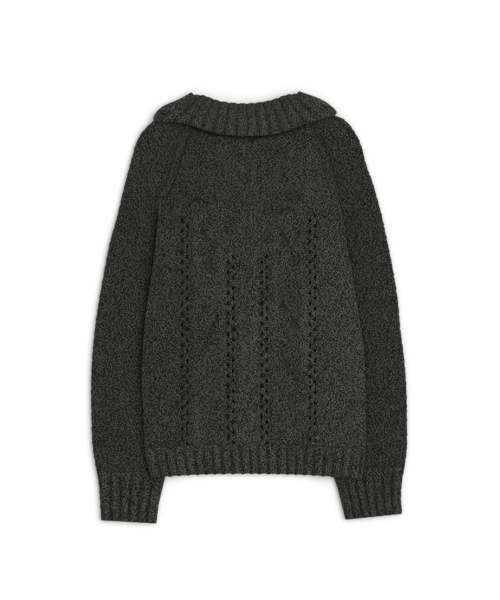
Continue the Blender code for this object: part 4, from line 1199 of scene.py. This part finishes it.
def lay_tape(side):
    """The layout of one tape, with a slight ripple towards its free edge."""
    def lay_out(column, row):
        x = side * mix(TAPE_NEAR, TAPE_FAR, column / TAPE_COLUMNS)
        y = mix(ZIP_FOOT, ZIP_TAPE_TOP, row / TAPE_ROWS)
        ripple = 0.12 * np.sin(y / 9 + side) * column / TAPE_COLUMNS
        ground = zip_ground(y) + ripple
        hem = 0.15 * bump(column - TAPE_COLUMNS + 1, 0.8)
        return points(x, y, ground + TAPE_HIGH), points(x, y, ground + TAPE_LOW + hem), 0 * x, None
    return lay_out


tapes = {}
threads = ((TAPE_FAR - TAPE_NEAR) / TAPE_COLUMNS / THREAD,
           (ZIP_TAPE_TOP - ZIP_FOOT) / TAPE_ROWS / THREAD)
for side, name in ((-1, "zip_tape_left_weave"), (1, "zip_tape_right_weave")):
    tapes[side] = knit(name, TAPE_COLUMNS, TAPE_ROWS, lay_tape(side), threads)

# %% Teeth
def round_edges(shape, radius, segments):
    """A small bevel on every edge."""
    bmesh.ops.bevel(shape, geom=shape.edges[:], offset=radius * MM, offset_type="OFFSET",
                    segments=segments, profile=0.5, affect="EDGES", clamp_overlap=True,
                    material=-1)


TOOTH_PITCH = 2.5
TOOTH = (3.6, 0.95, 1.8)   # across, along and through the tape
TOOTH_MIDDLE = (1.2, 3.5)
CHAIN_FOOT, CHAIN_TOP = ZIP_FOOT + 7.5, 255.5

teeth = bmesh.new()
steps = int((CHAIN_TOP - CHAIN_FOOT) / TOOTH_PITCH)
for side in (-1, 1):
    shift = TOOTH_PITCH / 2 if side > 0 else 0.0
    tooth_y = CHAIN_FOOT + 0.5 + shift + TOOTH_PITCH * np.arange(steps)
    for y, ground in zip(tooth_y, zip_ground(tooth_y)):
        middle = Vector((side * TOOTH_MIDDLE[0], y, ground + TOOTH_MIDDLE[1])) + Vector(SHIFT)
        size = Matrix.Diagonal((*(Vector(TOOTH) * MM), 1.0))
        bmesh.ops.create_cube(teeth, size=1, matrix=Matrix.Translation(middle * MM) @ size)
round_edges(teeth, 0.22, segments=1)
chain = finish_piece("zip_teeth", teeth, smooth=False)
print("teeth:", 2 * steps)

# %% [markdown]
# The slider, its pull and the box at the foot are cast metal with soft edges. Their solids have
# the right shape but sharp edges, so each is copied, its loose triangles are merged into whole
# faces, and every edge is rounded with a small bevel.

# %% Cast metal parts
def rounded_copy(node, name, radius):
    """A copy of a solid with all its edges rounded."""
    copy = bmesh.new()
    copy.from_mesh(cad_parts[node].data)
    bmesh.ops.remove_doubles(copy, verts=copy.verts[:], dist=0.01 * MM)
    bmesh.ops.dissolve_limit(copy, angle_limit=math.radians(1), verts=copy.verts[:],
                             edges=copy.edges[:])
    round_edges(copy, radius, segments=2)
    return finish_piece(name, copy, smooth=False)


slider = rounded_copy("zip_slider", "zip_slider_cast", 0.2)
pull = rounded_copy("zip_pull", "zip_pull_cast", 0.25)
box = rounded_copy("zip_box", "zip_box_cast", 0.4)

# %% [markdown]
# ## Shader maths as Python
#
# A small class wraps a socket, so that a pattern can be written as a sum or a product of
# sockets and numbers. Each operator adds one Math node. Any other node comes from one method
# that takes its type, its settings and its socket values.

# %% A socket that can be used in sums
class Socket:
    """An output of a node, with the maths operators of Python."""

    def __init__(self, paint, output):
        self.paint, self.output = paint, output

    def maths(self, operation, *others):
        inputs = {number: other for number, other in enumerate((self, *others))}
        return self.paint.node("ShaderNodeMath", {"operation": operation}, inputs)

    def other(self, name):
        """Another output of the same node."""
        return Socket(self.paint, self.output.node.outputs[name])

    def reflected(self, operation, other):
        return self.paint.node("ShaderNodeMath", {"operation": operation}, {0: other, 1: self})

    def __add__(self, other):
        return self.maths("ADD", other)

    def __sub__(self, other):
        return self.maths("SUBTRACT", other)

    def __mul__(self, other):
        return self.maths("MULTIPLY", other)

    def __pow__(self, other):
        return self.maths("POWER", other)

    def __rsub__(self, other):
        return self.reflected("SUBTRACT", other)

    __radd__ = __add__
    __rmul__ = __mul__

# %% A material that is built in sums
FLAT_GREY = 0.5            # the middle of every noise


class Paint:
    """A material and the nodes that are added to it."""

    def __init__(self, name, **constants):
        self.material = bpy.data.materials.new(name)
        self.material.use_nodes = True
        self.tree = self.material.node_tree
        self.shader = self.tree.nodes["Principled BSDF"]
        for socket, value in constants.items():
            self.shader.inputs[socket.replace("_", " ")].default_value = value

    def node(self, kind, settings=None, inputs=None, output=0):
        """Add a node. inputs maps a socket's name or number to a value or a Socket."""
        made = self.tree.nodes.new(kind)
        for name, value in (settings or {}).items():
            if name == "stops":
                self.fill_ramp(made.color_ramp, value)
            else:
                setattr(made, name, value)
        for name, value in (inputs or {}).items():
            self.feed(made.inputs[name], value)
        return Socket(self, made.outputs[output])

    def noise(self, place, scale, detail):
        """Soft noise around 0, of about that many grains to a metre."""
        made = self.node("ShaderNodeTexNoise", {}, {"Vector": place, "Scale": scale,
                                                    "Detail": detail, "Roughness": 0.6})
        return made - FLAT_GREY

    def times(self, colour, other):
        """Two colours multiplied."""
        return self.node("ShaderNodeMix", {"data_type": "RGBA", "blend_type": "MULTIPLY"},
                         {"Factor": 1.0, 6: colour, 7: other}, output=2)

    def finish(self, colour, height, strength, distance):
        """Feed the shader its colour and its relief. distance is the relief's depth in metres."""
        self.feed(self.shader.inputs["Base Color"], colour)
        relief = self.node("ShaderNodeBump", {}, {"Strength": strength, "Distance": distance,
                                                  "Height": height})
        self.feed(self.shader.inputs["Normal"], relief)
        print("material:", self.material.name, "with", len(self.tree.nodes), "nodes")
        return self.material

    def feed(self, socket, value):
        if isinstance(value, Socket):
            self.tree.links.new(value.output, socket)
        else:
            socket.default_value = value

    def fill_ramp(self, ramp, stops):
        while len(ramp.elements) < len(stops):
            ramp.elements.new(0.5)
        for element, (place, colour) in zip(ramp.elements, stops):
            element.position = place
            element.color = (*colour, 1.0)

# %% [markdown]
# ## Marled wool
#
# The yarn is spun from dark and pale fibres, so each stitch is a little lighter or darker than
# the next and the cloth looks speckled. The pattern works in stitch counts from the UV map:
# a stitch is two slanting legs that meet in a V, and the colour is darkened between the legs
# and between the wales as painted shade. Each half of a leg draws its own grey from white
# noise. Most of the grey of the four halves beside it is taken away again, because the two
# strands of the yarn wind round each other, so a dark spot is mostly next to a pale one and no
# large blots form. Noises of four more sizes add the twist of the yarn, the fibres, and the
# change from one part of the ball to the next. The attribute from the layout darkens the
# furrows of ribs, cables and seams as painted shade, and it carries the painted shade and
# highlights of the back and the painted shadows beside the body's edges and below the collar.

# %% A wool material
BESIDE = 0.75              # how far a half leg takes the opposite tone of those beside it
SPECK, MARL, FIBRE, PATCH, SLOW = 0.95, 0.30, 0.3, 0.14, 0.14   # how strong each noise is
GREYS = ((0.15, (0.002, 0.002, 0.0018)), (0.40, (0.014, 0.0142, 0.0124)),
         (0.55, (0.036, 0.0364, 0.0318)), (0.70, (0.072, 0.0727, 0.0635)),
         (0.95, (0.190, 0.191, 0.167)))
COOL, WARM = (0.94, 0.99, 1.08, 1.0), (1.06, 1.01, 0.92, 1.0)


def grey(paint, value):
    """A colour whose three channels are one value."""
    return paint.node("ShaderNodeCombineColor", {}, {"Red": value, "Green": value, "Blue": value})


def wool(name, lightness):
    """Marled knitting. lightness sets one piece off from another."""
    paint = Paint(name, Roughness=0.95, Sheen_Weight=0.05, Sheen_Roughness=0.6,
                  Specular_IOR_Level=0.1)
    place = paint.node("ShaderNodeTexCoord", output="Object")
    stitch = paint.node("ShaderNodeUVMap", {"uv_map": "stitches"})
    wobble = paint.noise(place, 160.0, 1.0)
    counts = paint.node("ShaderNodeSeparateXYZ", {}, {"Vector": stitch})
    wale = counts + wobble * 0.35
    across = (wale.maths("FRACT") * 2 - 1).maths("ABSOLUTE")
    leg = 1 - (across * 2 - 1).maths("ABSOLUTE") ** 2.0
    slanted = counts.other("Y") - across * 0.6 + wobble * 0.6
    yarn = (slanted * math.tau).maths("COSINE") * 0.5 + 0.5
    height = leg * (yarn * 0.65 + 0.35)
    half = paint.node("ShaderNodeSeparateXYZ", {}, {"Vector": place}).maths("GREATER_THAN", 0.0)
    cell = (wale * 2).maths("FLOOR"), (slanted * 2).maths("FLOOR")

    def draw(aside, up):
        """The white noise of a half leg that lies that many places away."""
        number = paint.node("ShaderNodeCombineXYZ", {}, {"X": cell[0] + aside, "Y": cell[1] + up,
                                                         "Z": half})
        return paint.node("ShaderNodeTexWhiteNoise", {"noise_dimensions": "3D"},
                          {"Vector": number})

    speck = draw(0, 0)
    around = draw(1, 0) + draw(-1, 0) + draw(0, 1) + draw(0, -1)
    contrast = speck - around * (BESIDE / 4) - FLAT_GREY * (1 - BESIDE)
    fibre = paint.noise(place, 1500.0, 2.0)
    marl = paint.noise(place, 330.0, 2.0)
    patch = paint.noise(place, 60.0, 1.0)
    slow = paint.noise(place, 14.0, 2.0)
    tone = contrast * SPECK + marl * MARL + fibre * FIBRE + patch * PATCH + slow * SLOW + FLAT_GREY
    colour = paint.node("ShaderNodeValToRGB", {"stops": GREYS}, {"Fac": tone})
    tint = paint.node("ShaderNodeMix", {"data_type": "RGBA"}, {
        "Factor": speck.other("Color").maths("FRACT"), 6: COOL, 7: WARM}, output=2)
    depth = paint.node("ShaderNodeAttribute", {"attribute_name": "sunk"}, output="Fac")
    # Painted shade between the legs and wales, times the painted shade of the attribute.
    shade = (height * 0.95 + 0.25) * (1 - depth * 0.5) * lightness
    shaded = paint.times(paint.times(colour, tint), grey(paint, shade))
    return paint.finish(shaded, height + fibre * 0.5, strength=0.9, distance=0.0011)


# One wool at four lightnesses, matched piece by piece: the sleeves' copy is darker as painted
# shade, and the body's is lighter to make up for its painted base shade.
WOOL = {"body": wool("charcoal_wool", 1.09), "sleeve": wool("charcoal_wool_sleeve", 0.66),
        "rib": wool("charcoal_wool_rib", 1.02), "cuff": wool("charcoal_wool_cuff", 0.905)}

# %% [markdown]
# ## Tape and metal
#
# The tape is a fine twill: threads cross over and under each other, which two waves draw, one
# along and one across. The metal is nickel with a dark finish. It is brighter and smoother in
# some places, as it is where it gets handled.

# %% Twill tape and dark nickel
THREADS = ((0.1, (0.008, 0.008, 0.007)), (0.9, (0.034, 0.034, 0.031)))
METALS = ((0.35, (0.13, 0.122, 0.108)), (0.70, (0.30, 0.285, 0.255)))


def twill(name):
    """The zip's woven tape."""
    paint = Paint(name, Roughness=0.85, Sheen_Weight=0.1, Specular_IOR_Level=0.3)
    place = paint.node("ShaderNodeTexCoord", output="Object")
    threads = paint.node("ShaderNodeUVMap", {"uv_map": "stitches"})
    counts = paint.node("ShaderNodeSeparateXYZ", {}, {"Vector": threads})
    slant = ((counts + counts.other("Y") * 0.5) * math.tau).maths("COSINE") * 0.5 + 0.5
    weft = (counts.other("Y") * math.tau).maths("COSINE") * 0.5 + 0.5
    height = slant * 0.6 + weft * 0.4
    # The low places of the weave are darker, as painted shade between the threads.
    tone = height * 0.6 + paint.noise(place, 700.0, 3.0) + 0.2
    colour = paint.node("ShaderNodeValToRGB", {"stops": THREADS}, {"Fac": tone})
    return paint.finish(colour, height, strength=0.7, distance=0.0003)


def nickel(name):
    """Dark nickel, smoother where it is handled."""
    paint = Paint(name, Metallic=1.0)
    place = paint.node("ShaderNodeTexCoord", output="Object")
    handled = paint.noise(place, 260.0, 3.0) + 0.5
    grain = paint.noise(place, 2500.0, 2.0)
    colour = paint.node("ShaderNodeValToRGB", {"stops": METALS}, {"Fac": handled})
    paint.feed(paint.shader.inputs["Roughness"], 0.55 - handled * 0.35 + grain * 0.2)
    return paint.finish(colour, grain, strength=0.25, distance=0.0002)


TWILL = twill("dark_twill_tape")
NICKEL = nickel("dark_nickel")

# %% [markdown]
# ## Floor, light and camera
#
# The garment lies on a white table under a broad soft light from above, a little from the
# right, as for a shop picture. The camera looks straight down from far away through a long
# lens, so that nothing leans. Its height and lens are worked out from the picture: one pixel
# shows 1.85 mm, and the picture's middle is at a known point of the drawing.

# %% Floor and light
FLOOR_GAP = 0.0002         # the table is a hair lower than the cloth, in metres
shape = bmesh.new()
bmesh.ops.create_grid(shape, x_segments=1, y_segments=1, size=6.0)
floor = finish_piece("table_top", shape, smooth=False)
floor.location.z = -FLOOR_GAP
white = Paint("white_table", Base_Color=(0.93, 0.93, 0.93, 1.0), Roughness=0.9,
              Specular_IOR_Level=0.0)
floor.data.materials.append(white.material)

sun = bpy.data.lights.new("key", "SUN")
sun.energy = 1.7
sun.angle = math.radians(50)
key = bpy.data.objects.new("key", sun)
key.rotation_euler = Vector((0.9, 0.25, 1.0)).to_track_quat("Z", "Y").to_euler()
bpy.context.scene.collection.objects.link(key)

world = bpy.data.worlds.new("studio")
world.use_nodes = True
world.node_tree.nodes["Background"].inputs["Color"].default_value = (1.0, 1.0, 1.0, 1.0)
world.node_tree.nodes["Background"].inputs["Strength"].default_value = 0.75
bpy.context.scene.world = world
bpy.context.scene.view_settings.view_transform = "Standard"

# %% Camera
PIXEL_MM = 1.85
PICTURE = (500, 600)
PICTURE_MIDDLE = (2.8, 13.0)   # the drawing's point at the middle of the picture
CAMERA_HEIGHT = 4.0
CLOTH_HEIGHT = 0.012       # the height that the scale is true at

camera_data = bpy.data.cameras.new("camera")
camera_data.sensor_width = 36.0
camera_data.lens = 36.0 * (CAMERA_HEIGHT - CLOTH_HEIGHT) / (PICTURE[1] * PIXEL_MM * MM)
camera = bpy.data.objects.new("camera", camera_data)
camera.location = ((PICTURE_MIDDLE[0] + SHIFT[0]) * MM, (PICTURE_MIDDLE[1] + SHIFT[1]) * MM,
                   CAMERA_HEIGHT)
bpy.context.scene.collection.objects.link(camera)
bpy.context.scene.camera = camera
print("lens:", round(camera_data.lens, 1), "mm")

# %% [markdown]
# ## Dress the frame
#
# Each piece gets its material, rides on the garment's body and stands for its solid. The table
# also lists the flat size that each was knitted to.

# %% Ride and replace
PIECES = (
    (back, "back", "body", (0.42, 0.60), 0.225, ["front_left", "front_right"]),
    (back_hem, "back_hem_rib", "rib", (0.42, 0.055), None, ["front_hem_rib_left",
                                                               "front_hem_rib_right"]),
    (fronts[-1], "front_left", "body", (0.21, 0.59), 0.108, ["sleeve_left", "collar"]),
    (fronts[1], "front_right", "body", (0.23, 0.59), 0.116, ["sleeve_right", "collar"]),
    (front_hems[-1], "front_hem_rib_left", "rib", (0.19, 0.055), None, ["sleeve_left"]),
    (front_hems[1], "front_hem_rib_right", "rib", (0.21, 0.055), None, ["sleeve_right"]),
    (sleeves[-1], "sleeve_left", "sleeve", (0.38, 0.72), 0.21, ["collar"]),
    (sleeves[1], "sleeve_right", "sleeve", (0.38, 0.72), 0.20, ["collar"]),
    (cuffs[-1], "cuff_left", "cuff", (0.25, 0.09), None, ["table_top"]),
    (cuffs[1], "cuff_right", "cuff", (0.27, 0.09), None, ["table_top"]),
    (collar, "collar", "rib", (0.70, 0.11), None, ["back", "sleeve_left", "sleeve_right"]),
    (tapes[-1], "zip_tape_left", "tape", (0.0136, 0.58), None, ["front_left"]),
    (tapes[1], "zip_tape_right", "tape", (0.0136, 0.58), None, ["front_right"]),
)
CLOTHS = {**WOOL, "tape": TWILL}
for piece, node, cloth, flat, area, rests in PIECES:
    piece.data.materials.append(CLOTHS[cloth])
    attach(piece, "garment")
    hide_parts(node)
for piece, node, body in ((chain, "zip_chain", "garment"), (slider, "zip_slider", "garment"),
                          (box, "zip_box", "garment"), (pull, "zip_pull", "pull")):
    piece.data.materials.append(NICKEL)
    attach(piece, body)
    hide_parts(node)
